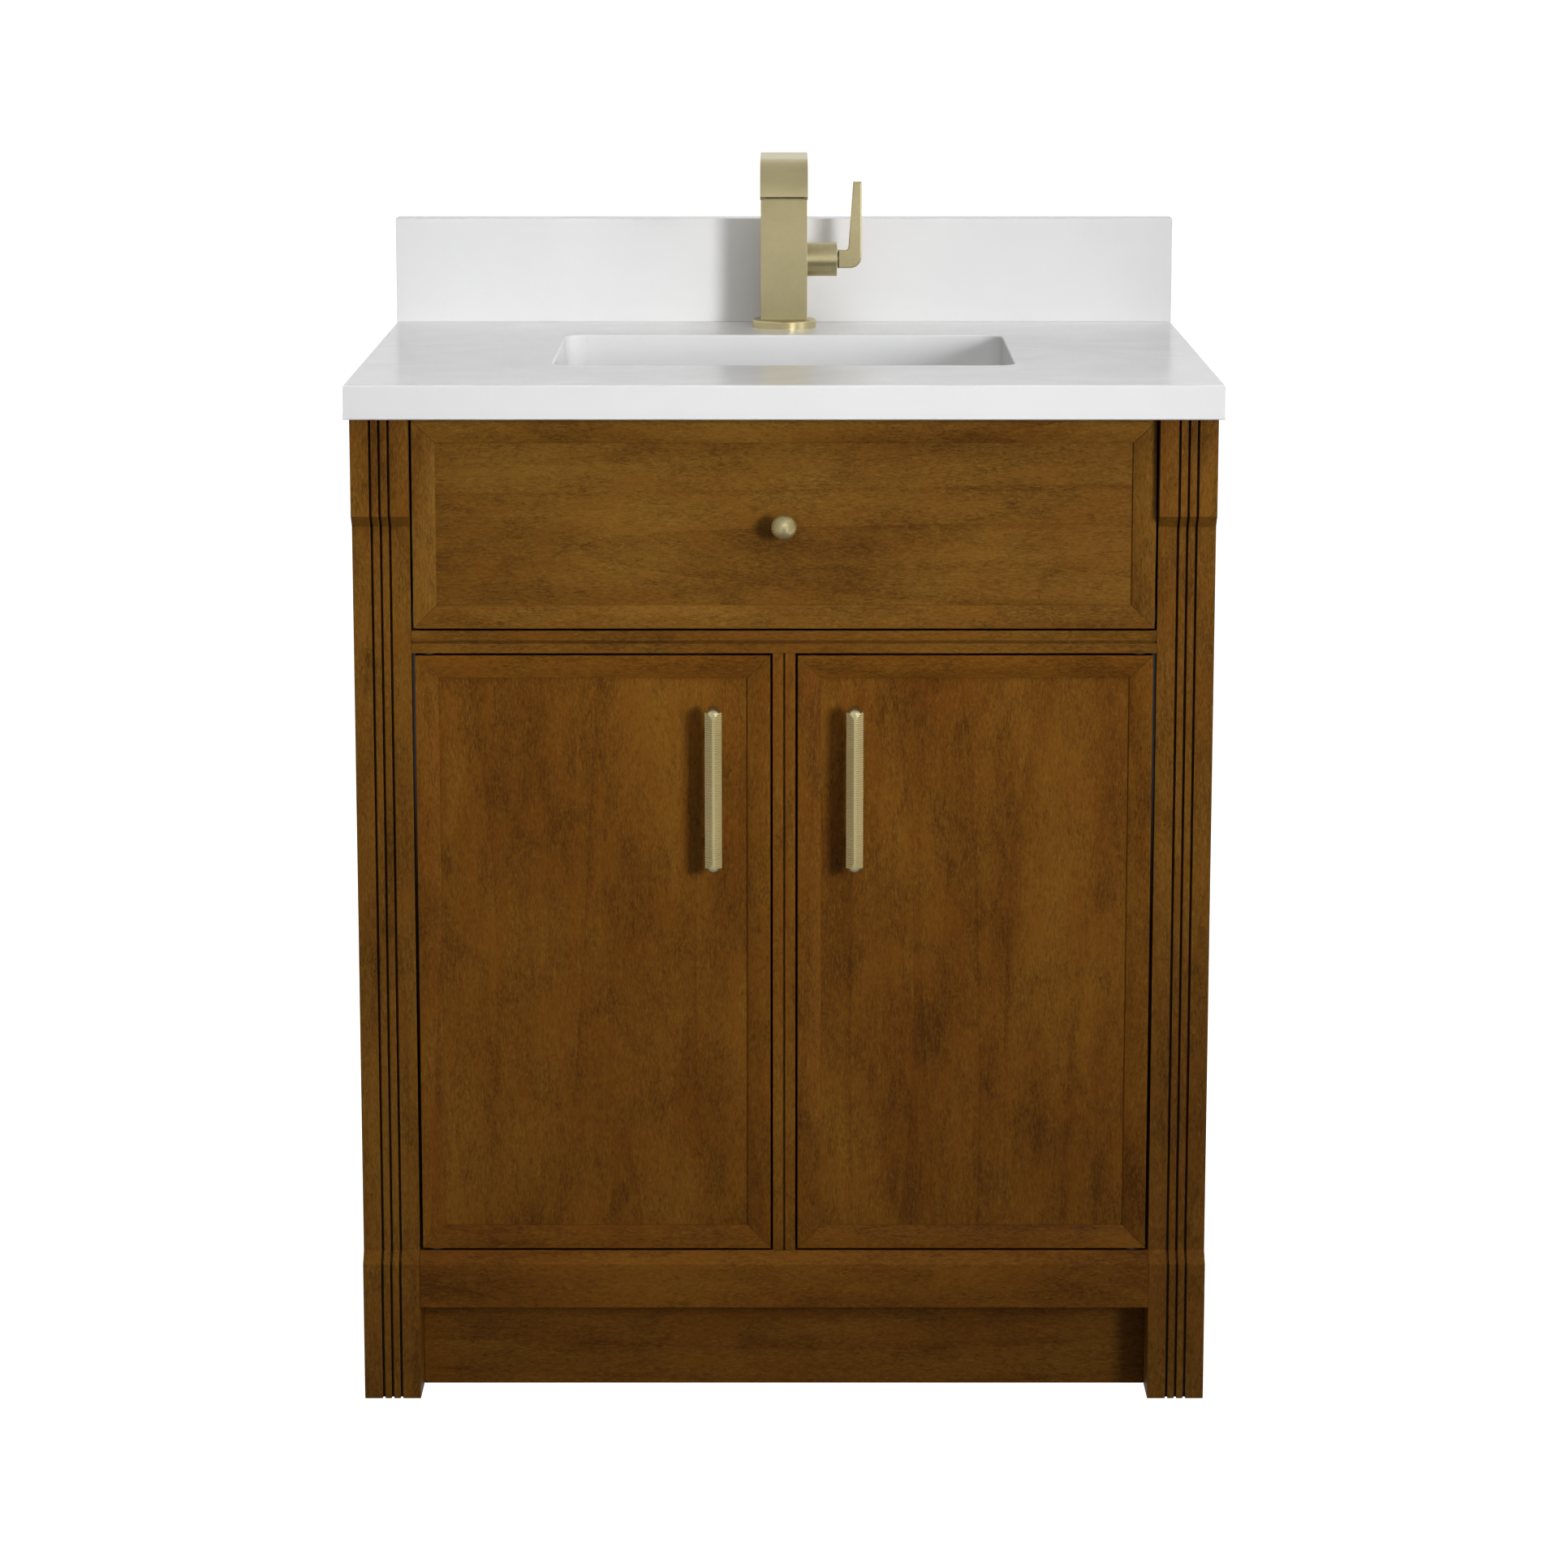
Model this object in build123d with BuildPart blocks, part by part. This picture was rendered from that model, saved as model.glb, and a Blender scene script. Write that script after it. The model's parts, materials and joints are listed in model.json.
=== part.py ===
"""Bathroom vanity cabinet: framed cabinet, drawer, two doors, stone top, sink and faucet.

Millimetres, +Z up, front towards -Y.  The origin is on the floor, at the centre of the overall
width and depth, so the wall face of the cabinet and the pulls are equally far from it.
"""
from build123d import *
import math
import os

os.makedirs("parts", exist_ok=True)

# ---------------------------------------------------------------- overall sizes
cabinet_width = 754.0
cabinet_height = 887.0
counter_depth = 597.0           # front edge of the stone top to the wall
counter_side_overhang = 4.0
counter_thickness = 30.0
door_setback = 23.0             # doors and drawer front, behind the front edge of the top

# ---------------------------------------------------------------- cabinet boards
board = 18.0                    # side panels, toe board and back rails
block_relief = 10.0             # how far the thick blocks stand in front of the doors
post_width = 50.5
lower_block_height = 125.5
upper_block_height = 86.2
post_groove_width = 2.0
post_groove_depth = 4.5
post_groove_pitch = 8.0
toe_height = 85.0
toe_setback = 43.0
floor_thickness = 16.0
mid_rail_height = 20.0
mid_rail_groove_width = 2.2
drawer_opening_height = 188.4   # mid rail's upper face to the underside of the top
mullion_width = 20.0
mullion_depth = 40.0
mullion_groove_width = 1.8
door_stop_width = 44.0          # the mullion is this wide behind the doors
door_stop_gap = 1.0
rail_groove_depth = 2.5
bottom_rail_depth = 20.0        # behind the door plane
stretcher_width = 60.0
upper_back_rail_height = 100.0
lower_back_rail_height = 80.0
corner_block_leg = 40.0
back_panel_thickness = 5.0
pipe_opening_width = 300.0
pipe_opening_height = 240.0
pipe_opening_z = 545.0          # its centre, above the floor
wall_hole_radius = 3.0
wall_hole_spacing = 406.4       # one wall stud spacing
wall_hole_drop = 45.0           # below the top of the upper back rail

# ---------------------------------------------------------------- doors and drawer front
gap = 2.0                       # doors and drawer front to the rails and the mullion
door_post_gap = 2.8
drawer_top_gap = 3.0
front_thickness = 20.0
frame_width = 20.4
frame_flat = 10.0
bevel_drop = 3.5
panel_recess = 5.0
panel_thickness = 9.0
panel_tongue = 7.0
tongue_clearance = 0.2

# ---------------------------------------------------------------- door pivots and catches
pivot_from_edge = 12.0
pivot_behind_face = 8.0
pivot_radius = 3.0
pivot_seat = 9.0
running_clearance = 0.05
bush_wall = 2.0
bush_length = 12.0
bush_flange = 1.2
bush_flange_radius = 6.5
catch_length = 40.0
catch_height = 13.0
catch_depth = 15.0
catch_from_mullion = 45.0
catch_gap = 0.3
strike_length = 30.0
strike_height = 12.0
strike_thickness = 1.5

# ---------------------------------------------------------------- pulls and knob
pull_length = 150.0
pull_width = 15.3
pull_depth = 11.0
pull_ridge = 1.6
pull_projection = 32.0          # front of the ridge to the door panel
pull_hole_spacing = 96.0
pull_post_radius = 5.0
pull_x = 62.0
pull_below_door_top = 116.6
screw_radius = 1.95
screw_hole_radius = 2.0
screw_head_radius = 4.0
screw_head_height = 2.5
screw_bite = 10.0
knob_radius = 11.35
knob_projection = 27.0
knob_foot_radius = 6.5
knob_neck_radius = 4.5
knob_foot_height = 3.0
knob_cap_height = 4.6           # shallow dome
knob_head_height = 7.4          # tip of the dome to the lower edge of the rim
knob_flare_height = 4.0         # rim to neck

# ---------------------------------------------------------------- drawer box and slides
box_board = 12.0
box_bottom_thickness = 6.0
box_height = 134.0
box_above_mid_rail = 13.4
box_depth = 400.0
bowl_clearance = 14.0
slide_thickness = 12.7
slide_height = 45.0
slide_length = 390.0
slide_sheet = 1.2
slide_gap = 1.6                 # between nested members, where the balls run
slide_front_gap = 4.0           # behind the drawer front
slide_above_mid_rail = 58.4
outer_flange = 9.0
middle_flange = 7.0
inner_flange = 7.0

# ---------------------------------------------------------------- stone top and sink
counter_easing = 1.5
counter_lower_easing = 0.75
backsplash_height = 101.6
backsplash_thickness = 30.0
sink_width = 416.0
sink_length = 272.0             # front to back
sink_front_setback = 164.0      # behind the front edge of the top
sink_corner = 18.0
bowl_reveal = 2.0               # the bowl is this much larger than the cut-out all round
bowl_depth = 140.0
bowl_draft = 20.0               # how much the bowl narrows on each side, top to bottom
bowl_wall = 10.0
bowl_floor_radius = 13.0
rim_width = 24.0
rim_thickness = 10.0
clip_width = 24.0
clip_thickness = 3.0
clip_spacing = 170.0
clip_foot = 14.0
clip_bowl_gap = 1.0
clip_rim_gap = 0.2

# ---------------------------------------------------------------- drain
tailpiece_radius = 15.875
tailpiece_wall = 1.3
tailpiece_length = 90.0         # below the drain body
tailpiece_thread_step = 0.6     # the threaded end is this much thinner, all round
drain_wall = 4.0
drain_hole_clearance = 1.8
drain_flange_radius = 32.0
drain_flange_height = 3.0
drain_flange_bevel = 1.5
drain_body_length = 62.0
gasket_radius = 30.0
gasket_height = 5.0
drain_nut_height = 10.0
drain_nut_flats = 58.0
thread_clearance = 0.1
tailpiece_engagement = 20.0
stopper_clearance = 0.6
stopper_height = 5.0
stopper_edge = 1.6
stopper_stem_radius = 3.25
stopper_stem_length = 34.0
spider_drop = 20.0
spider_height = 6.0
spider_width = 5.0
spider_hub_radius = 6.5

# ---------------------------------------------------------------- faucet
faucet_setback = 517.0          # behind the front edge of the top
faucet_hole_radius = 17.5
flange_radius = 31.0
flange_height = 8.0
flange_edge = 2.0
column_width = 45.0
column_depth = 34.0
spout_height = 170.0            # above the top
spout_reach = 155.0             # from the column's centre
spout_thickness = 12.0
spout_radius = 48.0
spout_arc = 72.0                # degrees from level to the outlet
shoulder_radius = 31.0
armpit_radius = 24.0
outlet_width = 37.0
outlet_height = 7.5
outlet_from_lip = 2.0
outlet_depth = 6.0
outlet_recess = 2.0
outlet_clearance = 0.1
shank_radius = 16.0
shank_bore = 11.0
shank_length = 66.0
faucet_nut_flats = 46.0
faucet_nut_height = 9.0
washer_radius = 26.0
washer_height = 3.0
inlet_radius = 4.3              # bore of an M10 hose thread
inlet_length = 14.0
inlet_spacing = 11.4

valve_height = 65.7             # housing axis above the top
valve_radius = 16.35
valve_length = 28.9
valve_bore_radius = 14.3
valve_end_wall = 1.4
valve_mouth_bevel = 0.4
stem_clearance = 0.1
ear_inner = 9.6
ear_thickness = 2.8
ear_half_height = 5.0
ball_radius = 9.0
ball_gap = 0.4
lever_neck_radius = 6.0
lever_neck_bite = 5.5          # how far the round neck runs into the lever's foot
pin_radius = 1.5
pivot_inside_mouth = 11.4       # tilt axis behind the housing's open end
lever_neck_height = 17.3
lever_neck_drop = 8.3           # neck's lower edge below the housing axis
lever_reach = 75.2              # outer face of the lever from the column's centre
lever_top = 140.8               # above the top
lever_root_thickness = 12.7
lever_tip_thickness = 8.2
lever_width = 13.0
lever_outer_radius = 11.0
lever_inner_radius = 3.5
lever_shoulder = 0.8            # outside the housing's mouth
lever_tip_edge = 1.5

# ---------------------------------------------------------------- stations
front_reach = pull_projection - panel_recess - door_setback
wall_y = (counter_depth + front_reach) / 2
counter_front_y = wall_y - counter_depth
face_y = counter_front_y + door_setback
block_face_y = face_y - block_relief
front_back_y = face_y + front_thickness
post_back_y = block_face_y + toe_setback + board
back_rail_y = wall_y - board
back_panel_y = back_rail_y - back_panel_thickness
panel_y = face_y + panel_recess
panel_back_y = panel_y + panel_thickness

half_width = cabinet_width / 2
side_inner_x = half_width - board
post_inner_x = half_width - post_width
counter_width = cabinet_width + 2 * counter_side_overhang
counter_top_z = cabinet_height + counter_thickness

bottom_rail_top = lower_block_height + block_relief
mid_rail_top = cabinet_height - drawer_opening_height
mid_rail_bottom = mid_rail_top - mid_rail_height
door_bottom = bottom_rail_top + gap
door_top = mid_rail_bottom - gap
door_inner_x = mullion_width / 2 + gap
door_outer_x = post_inner_x - door_post_gap
drawer_bottom_z = mid_rail_top + gap
drawer_top_z = cabinet_height - drawer_top_gap
drawer_half = post_inner_x - gap
knob_z = (drawer_bottom_z + drawer_top_z) / 2
pull_z = door_top - pull_below_door_top
stretcher_bottom = cabinet_height - board

sink_y = counter_front_y + sink_front_setback + sink_length / 2
faucet_y = counter_front_y + faucet_setback
lever_axis_z = counter_top_z + valve_height
valve_mouth_x = column_width / 2 + valve_length
tilt_x = valve_mouth_x - pivot_inside_mouth


def save(part, name):
    """Label a finished piece and write it to its own file."""
    part.label = name
    export_step(part, "parts/" + name + ".step")


def board_between(x, y, z):
    """A plain board that fills the span between two stations along each axis."""
    centre = Vector((x[0] + x[1]) / 2, (y[0] + y[1]) / 2, z[0])
    with BuildPart() as piece:
        with BuildSketch(Plane(origin=centre)):
            Rectangle(x[1] - x[0], y[1] - y[0])
        extrude(amount=z[1] - z[0])
    return piece.part


def mirrored(part):
    """The same piece on the other side of the cabinet."""
    return mirror(part, about=Plane.YZ)


# ================================================================ cabinet frame
def front_post():
    """Right-hand post: thick blocks above and below, three grooves from end to end."""
    lower = lower_block_height
    upper = cabinet_height - upper_block_height

    def front_line(shift):
        return [
            (block_face_y + shift, 0),
            (block_face_y + shift, lower),
            (face_y + shift, lower + block_relief),
            (face_y + shift, upper - block_relief),
            (block_face_y + shift, upper),
            (block_face_y + shift, cabinet_height),
        ]

    centre_x = post_inner_x + post_width / 2
    with BuildPart() as piece:
        with BuildSketch(Plane.YZ.offset(post_inner_x)):
            with BuildLine():
                Polyline(*front_line(0), (post_back_y, cabinet_height), (post_back_y, 0), close=True)
            make_face()
        extrude(amount=post_width)
        for step in (-1, 0, 1):
            groove_x = centre_x + step * post_groove_pitch - post_groove_width / 2
            with BuildSketch(Plane.YZ.offset(groove_x)):
                with BuildLine():
                    Polyline(
                        *front_line(post_groove_depth),
                        (block_face_y - post_groove_depth, cabinet_height),
                        (block_face_y - post_groove_depth, 0),
                        close=True,
                    )
                make_face()
            extrude(amount=post_groove_width, mode=Mode.SUBTRACT)
    return piece.part


post_right = front_post()
save(post_right, "front_post_right")
save(mirrored(post_right), "front_post_left")

side_right = board_between((side_inner_x, half_width), (post_back_y, wall_y), (0, cabinet_height))
save(side_right, "side_panel_right")
save(mirrored(side_right), "side_panel_left")


pivot_x = door_outer_x - pivot_from_edge
pivot_y = face_y + pivot_behind_face
bush_radius = pivot_radius + running_clearance + bush_wall


def bush_seats(z):
    """The round seats of the door pivot bushes in a rail, one on each side."""
    with BuildSketch(Plane.XY.offset(z)) as seats:
        with Locations((-pivot_x, pivot_y), (pivot_x, pivot_y)):
            Circle(bush_radius)
    return seats.sketch


with BuildPart() as bottom_rail:
    with BuildSketch(Plane.YZ.offset(-post_inner_x)):
        with BuildLine():
            Polyline(
                (block_face_y, toe_height),
                (block_face_y, lower_block_height),
                (face_y, bottom_rail_top),
                (face_y + bottom_rail_depth, bottom_rail_top),
                (face_y + bottom_rail_depth, toe_height),
                close=True,
            )
        make_face()
    extrude(amount=2 * post_inner_x)
    extrude(bush_seats(bottom_rail_top), amount=-bush_length, mode=Mode.SUBTRACT)
save(bottom_rail.part, "bottom_rail")

with BuildPart() as mid_rail:
    with BuildSketch(Plane.YZ.offset(-post_inner_x)):
        with BuildLine():
            groove_z = (mid_rail_bottom + mid_rail_top) / 2
            Polyline(
                (face_y, mid_rail_bottom),
                (face_y, groove_z - mid_rail_groove_width / 2),
                (face_y + rail_groove_depth, groove_z - mid_rail_groove_width / 2),
                (face_y + rail_groove_depth, groove_z + mid_rail_groove_width / 2),
                (face_y, groove_z + mid_rail_groove_width / 2),
                (face_y, mid_rail_top),
                (post_back_y, mid_rail_top),
                (post_back_y, mid_rail_bottom),
                close=True,
            )
        make_face()
    extrude(amount=2 * post_inner_x)
    extrude(bush_seats(mid_rail_bottom), amount=bush_length, mode=Mode.SUBTRACT)
save(mid_rail.part, "mid_rail")

with BuildPart() as mullion:
    with BuildSketch(Plane.XY.offset(bottom_rail_top)):
        with Locations((0, face_y)):
            Rectangle(mullion_width, mullion_depth, align=(Align.CENTER, Align.MIN))
            Rectangle(mullion_groove_width, 2 * rail_groove_depth, mode=Mode.SUBTRACT)
        stop_y = front_back_y + door_stop_gap
        with Locations((0, stop_y)):
            Rectangle(door_stop_width, face_y + mullion_depth - stop_y, align=(Align.CENTER, Align.MIN))
    extrude(amount=mid_rail_bottom - bottom_rail_top)
save(mullion.part, "centre_mullion")

floor_bottom = bottom_rail_top - floor_thickness
with BuildPart() as cabinet_floor:
    with BuildSketch(Plane.XY.offset(floor_bottom)):
        with Locations((0, post_back_y)):
            Rectangle(2 * side_inner_x, back_rail_y - post_back_y, align=(Align.CENTER, Align.MIN))
        with Locations((0, face_y + bottom_rail_depth)):
            Rectangle(
                2 * post_inner_x,
                post_back_y - face_y - bottom_rail_depth,
                align=(Align.CENTER, Align.MIN),
            )
    extrude(amount=floor_thickness)
save(cabinet_floor.part, "cabinet_floor")

toe_front_y = block_face_y + toe_setback
save(
    board_between((-post_inner_x, post_inner_x), (toe_front_y, post_back_y), (0, floor_bottom)),
    "toe_kick_board",
)

stretcher_y = front_back_y + slide_front_gap
save(
    board_between(
        (-post_inner_x, post_inner_x),
        (stretcher_y, stretcher_y + stretcher_width),
        (stretcher_bottom, cabinet_height),
    ),
    "top_front_stretcher",
)

with BuildPart() as upper_rail:
    add(
        board_between(
            (-side_inner_x, side_inner_x),
            (back_rail_y, wall_y),
            (cabinet_height - upper_back_rail_height, cabinet_height),
        )
    )
    hole_z = cabinet_height - wall_hole_drop
    with BuildSketch(Plane(origin=(0, back_rail_y, hole_z), x_dir=(1, 0, 0), z_dir=(0, 1, 0))):
        with GridLocations(wall_hole_spacing, 0, 2, 1):
            Circle(wall_hole_radius)
    extrude(amount=board, mode=Mode.SUBTRACT)

lower_rail = board_between(
    (-side_inner_x, side_inner_x),
    (back_rail_y, wall_y),
    (floor_bottom, floor_bottom + lower_back_rail_height),
)
save(Compound(children=[upper_rail.part, lower_rail]), "back_rails")

with BuildPart() as back_panel:
    add(
        board_between(
            (-side_inner_x, side_inner_x),
            (back_panel_y, back_rail_y),
            (bottom_rail_top, cabinet_height),
        )
    )
    with BuildSketch(Plane(origin=(0, back_panel_y, pipe_opening_z), x_dir=(1, 0, 0), z_dir=(0, 1, 0))):
        Rectangle(pipe_opening_width, pipe_opening_height)
    extrude(amount=back_panel_thickness, mode=Mode.SUBTRACT)
save(back_panel.part, "back_panel")

with BuildPart() as corner_blocks:
    with BuildSketch(Plane.XY.offset(stretcher_bottom)):
        for side in (-1, 1):
            x = side * side_inner_x
            for y, way in ((stretcher_y + stretcher_width, 1), (back_panel_y, -1)):
                with BuildLine():
                    Polyline(
                        (x, y),
                        (x - side * corner_block_leg, y),
                        (x, y + way * corner_block_leg),
                        close=True,
                    )
                make_face()
    extrude(amount=board)
save(corner_blocks.part, "corner_blocks")

slide_centre_z = mid_rail_top + slide_above_mid_rail + slide_height / 2
slide_low_z = slide_centre_z - slide_height / 2
cleat_right = board_between(
    (post_inner_x, side_inner_x), (post_back_y, back_panel_y), (slide_low_z, slide_low_z + slide_height)
)
save(Compound(children=[cleat_right, mirrored(cleat_right)]), "slide_cleats")


# ================================================================ door pivots and catches
def bush(z, way):
    """One flanged bush, pressed into a rail from the door side."""
    with BuildPart() as piece:
        with BuildSketch(Plane(origin=(pivot_x, pivot_y, z), z_dir=(0, 0, way))):
            Circle(bush_radius)
            Circle(pivot_radius + running_clearance, mode=Mode.SUBTRACT)
        extrude(amount=bush_length)
        with BuildSketch(Plane(origin=(pivot_x, pivot_y, z), z_dir=(0, 0, -way))):
            Circle(bush_flange_radius)
            Circle(pivot_radius + running_clearance, mode=Mode.SUBTRACT)
        extrude(amount=bush_flange)
    return piece.part


bushes_right = [bush(bottom_rail_top, -1), bush(mid_rail_bottom, 1)]
save(Compound(children=bushes_right + [mirrored(piece) for piece in bushes_right]), "pivot_bushes")

catch_y = front_back_y + strike_thickness + catch_gap
catch_right = board_between(
    (catch_from_mullion - catch_length / 2, catch_from_mullion + catch_length / 2),
    (catch_y, catch_y + catch_depth),
    (mid_rail_bottom - catch_height, mid_rail_bottom),
)
save(Compound(children=[catch_right, mirrored(catch_right)]), "door_catches")


# ================================================================ framed fronts
def frame_member(start, along, inward, length):
    """One side of a mitred frame, seen clockwise from the front, with its bevel and its groove."""
    groove = frame_width - panel_tongue - tongue_clearance
    end = start + along * length
    with BuildPart() as piece:
        with BuildSketch(Plane(origin=start, x_dir=inward, z_dir=along)):
            with BuildLine():
                Polyline(
                    (0, 0),
                    (frame_flat, 0),
                    (frame_width, bevel_drop),
                    (frame_width, panel_recess),
                    (groove, panel_recess),
                    (groove, panel_recess + panel_thickness),
                    (frame_width, panel_recess + panel_thickness),
                    (frame_width, front_thickness),
                    (0, front_thickness),
                    close=True,
                )
            make_face()
        extrude(amount=length)
        split(bisect_by=Plane(origin=start, z_dir=along - inward), keep=Keep.TOP)
        split(bisect_by=Plane(origin=end, z_dir=along + inward), keep=Keep.BOTTOM)
    return piece.part


def framed_front(x0, x1, z0, z1):
    """Stiles, rails and panel of one framed front between two corners."""
    right = Vector(1, 0, 0)
    up = Vector(0, 0, 1)
    stiles = [
        frame_member(Vector(x0, face_y, z0), up, right, z1 - z0),
        frame_member(Vector(x1, face_y, z1), -up, -right, z1 - z0),
    ]
    rails = [
        frame_member(Vector(x0, face_y, z1), right, -up, x1 - x0),
        frame_member(Vector(x1, face_y, z0), -right, up, x1 - x0),
    ]
    inset = frame_width - panel_tongue
    panel = board_between((x0 + inset, x1 - inset), (panel_y, panel_back_y), (z0 + inset, z1 - inset))
    return stiles, rails, panel


def hole_through(part, x, z, radius, y0, y1):
    """Drill a round hole along Y through a piece."""
    with BuildPart() as piece:
        add(part)
        with BuildSketch(Plane(origin=(x, y0, z), x_dir=(1, 0, 0), z_dir=(0, 1, 0))):
            Circle(radius)
        extrude(amount=y1 - y0, mode=Mode.SUBTRACT)
    return piece.part


def screw(x, z, head_y, length):
    """A pan-head screw driven towards the front, with its head's seat at head_y."""
    with BuildPart() as piece:
        with BuildSketch(Plane(origin=(x, head_y, z), z_dir=(0, 1, 0))):
            Circle(screw_head_radius)
        extrude(amount=screw_head_height)
        with BuildSketch(Plane(origin=(x, head_y, z), z_dir=(0, -1, 0))):
            Circle(screw_radius)
        extrude(amount=length)
    return piece.part


def pull():
    """Right-hand pull: a ridged bar with domed ends on two round posts."""
    ridge_y = panel_y - pull_projection
    bar_back_y = ridge_y + pull_depth
    shoulder_y = ridge_y + (pull_width - pull_ridge) / 2
    half = pull_width / 2
    with BuildPart() as piece:
        with BuildSketch(Plane.XY.offset(pull_z - pull_length / 2)):
            with BuildLine():
                Polyline(
                    (pull_x - pull_ridge / 2, ridge_y),
                    (pull_x + pull_ridge / 2, ridge_y),
                    (pull_x + half, shoulder_y),
                    (pull_x + half, bar_back_y),
                    (pull_x - half, bar_back_y),
                    (pull_x - half, shoulder_y),
                    close=True,
                )
            make_face()
        extrude(amount=pull_length)
        with BuildSketch(Plane(origin=(pull_x, bar_back_y, pull_z), x_dir=(1, 0, 0), z_dir=(0, -1, 0))):
            SlotOverall(pull_length, pull_width, rotation=90)
        extrude(amount=pull_depth, mode=Mode.INTERSECT)
        for step in (-1, 1):
            post_z = pull_z + step * pull_hole_spacing / 2
            with BuildSketch(Plane(origin=(pull_x, bar_back_y, post_z), z_dir=(0, 1, 0))):
                Circle(pull_post_radius)
            extrude(amount=panel_y - bar_back_y)
            with BuildSketch(Plane(origin=(pull_x, panel_y, post_z), z_dir=(0, -1, 0))):
                Circle(screw_hole_radius)
            extrude(amount=screw_bite, mode=Mode.SUBTRACT)
    return piece.part


def pivot_pins():
    """Right-hand door's two pivot pins, above and below its hinge edge."""
    pins = []
    for door_edge, way in ((door_bottom, -1), (door_top, 1)):
        with BuildPart() as piece:
            start_z = door_edge - way * pivot_seat
            with BuildSketch(Plane(origin=(pivot_x, pivot_y, start_z), z_dir=(0, 0, way))):
                Circle(pivot_radius)
            extrude(amount=pivot_seat + gap + bush_length)
        pins.append(piece.part)
    return pins


def pin_hole(part, door_edge, way):
    """Cut the seat of one pivot pin into a door rail."""
    with BuildPart() as piece:
        add(part)
        with BuildSketch(Plane(origin=(pivot_x, pivot_y, door_edge), z_dir=(0, 0, -way))):
            Circle(pivot_radius)
        extrude(amount=pivot_seat, mode=Mode.SUBTRACT)
    return piece.part


def door_pieces():
    """All the pieces of the right-hand door, by name."""
    stiles, rails, panel = framed_front(door_inner_x, door_outer_x, door_bottom, door_top)
    top_rail = pin_hole(rails[0], door_top, 1)
    bottom_rail_piece = pin_hole(rails[1], door_bottom, -1)
    screws = []
    for step in (-1, 1):
        z = pull_z + step * pull_hole_spacing / 2
        panel = hole_through(panel, pull_x, z, screw_hole_radius, panel_y, panel_back_y)
        screws.append(screw(pull_x, z, panel_back_y, panel_thickness + screw_bite - screw_head_height))
    strike = board_between(
        (catch_from_mullion - strike_length / 2, catch_from_mullion + strike_length / 2),
        (front_back_y, front_back_y + strike_thickness),
        (door_top - strike_height, door_top - gap),
    )
    return {
        "stiles": Compound(children=stiles),
        "rails": Compound(children=[top_rail, bottom_rail_piece]),
        "panel": panel,
        "pull": pull(),
        "pull_screws": Compound(children=screws),
        "pivot_pins": Compound(children=pivot_pins()),
        "strike_plate": strike,
    }


for name, part in door_pieces().items():
    save(mirrored(part), "door_left_" + name)
    save(part, "door_right_" + name)


# ================================================================ drawer
drawer_front = framed_front(-drawer_half, drawer_half, drawer_bottom_z, drawer_top_z)
front_stiles, front_rails, front_panel = drawer_front
save(Compound(children=front_stiles), "drawer_front_stiles")
save(Compound(children=front_rails), "drawer_front_rails")
save(hole_through(front_panel, 0, knob_z, screw_hole_radius, panel_y, panel_back_y), "drawer_front_panel")

with BuildPart() as knob:
    tip_y = -knob_projection
    rim_y = tip_y + knob_head_height
    with BuildSketch(Plane(origin=(0, panel_y, knob_z), x_dir=(1, 0, 0), z_dir=(0, 0, 1))):
        with BuildLine():
            Line((0, 0), (knob_foot_radius, 0))
            Line((knob_foot_radius, 0), (knob_foot_radius, -knob_foot_height))
            Line((knob_foot_radius, -knob_foot_height), (knob_neck_radius, -knob_foot_height))
            Line((knob_neck_radius, -knob_foot_height), (knob_neck_radius, rim_y + knob_flare_height))
            Line((knob_neck_radius, rim_y + knob_flare_height), (knob_radius, rim_y))
            Line((knob_radius, rim_y), (knob_radius, tip_y + knob_cap_height))
            TangentArc((0, tip_y), (knob_radius, tip_y + knob_cap_height), tangent=(1, 0))
            Line((0, tip_y), (0, 0))
        make_face()
    revolve(axis=Axis((0, panel_y, knob_z), (0, 1, 0)))
    with BuildSketch(Plane(origin=(0, panel_y, knob_z), z_dir=(0, -1, 0))):
        Circle(screw_hole_radius)
    extrude(amount=screw_bite, mode=Mode.SUBTRACT)
save(knob.part, "drawer_knob")

box_half = post_inner_x - slide_thickness
box_front_y = front_back_y
box_back_y = box_front_y + box_depth
box_low_z = mid_rail_top + box_above_mid_rail
box_floor_z = box_low_z + box_bottom_thickness
box_top_z = box_floor_z + box_height
bowl_half = sink_width / 2 + bowl_reveal + bowl_wall
wing_x = bowl_half + bowl_clearance
cross_back_y = sink_y - sink_length / 2 - bowl_reveal - bowl_wall - bowl_clearance

box_front_board = board_between(
    (-box_half, box_half), (box_front_y, box_front_y + box_board), (box_floor_z, box_top_z)
)
box_front_board = hole_through(
    box_front_board, 0, knob_z, screw_hole_radius, box_front_y, box_front_y + box_board
)
outer_side = board_between(
    (box_half - box_board, box_half), (box_front_y + box_board, box_back_y), (box_floor_z, box_top_z)
)
inner_side = board_between((wing_x, wing_x + box_board), (cross_back_y, box_back_y), (box_floor_z, box_top_z))
wing_back = board_between(
    (wing_x + box_board, box_half - box_board),
    (box_back_y - box_board, box_back_y),
    (box_floor_z, box_top_z),
)
cross_board = board_between(
    (-wing_x - box_board, wing_x + box_board),
    (cross_back_y - box_board, cross_back_y),
    (box_floor_z, box_top_z),
)
save(
    Compound(
        children=[
            box_front_board,
            cross_board,
            outer_side,
            mirrored(outer_side),
            inner_side,
            mirrored(inner_side),
            wing_back,
            mirrored(wing_back),
        ]
    ),
    "drawer_box_boards",
)

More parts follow.
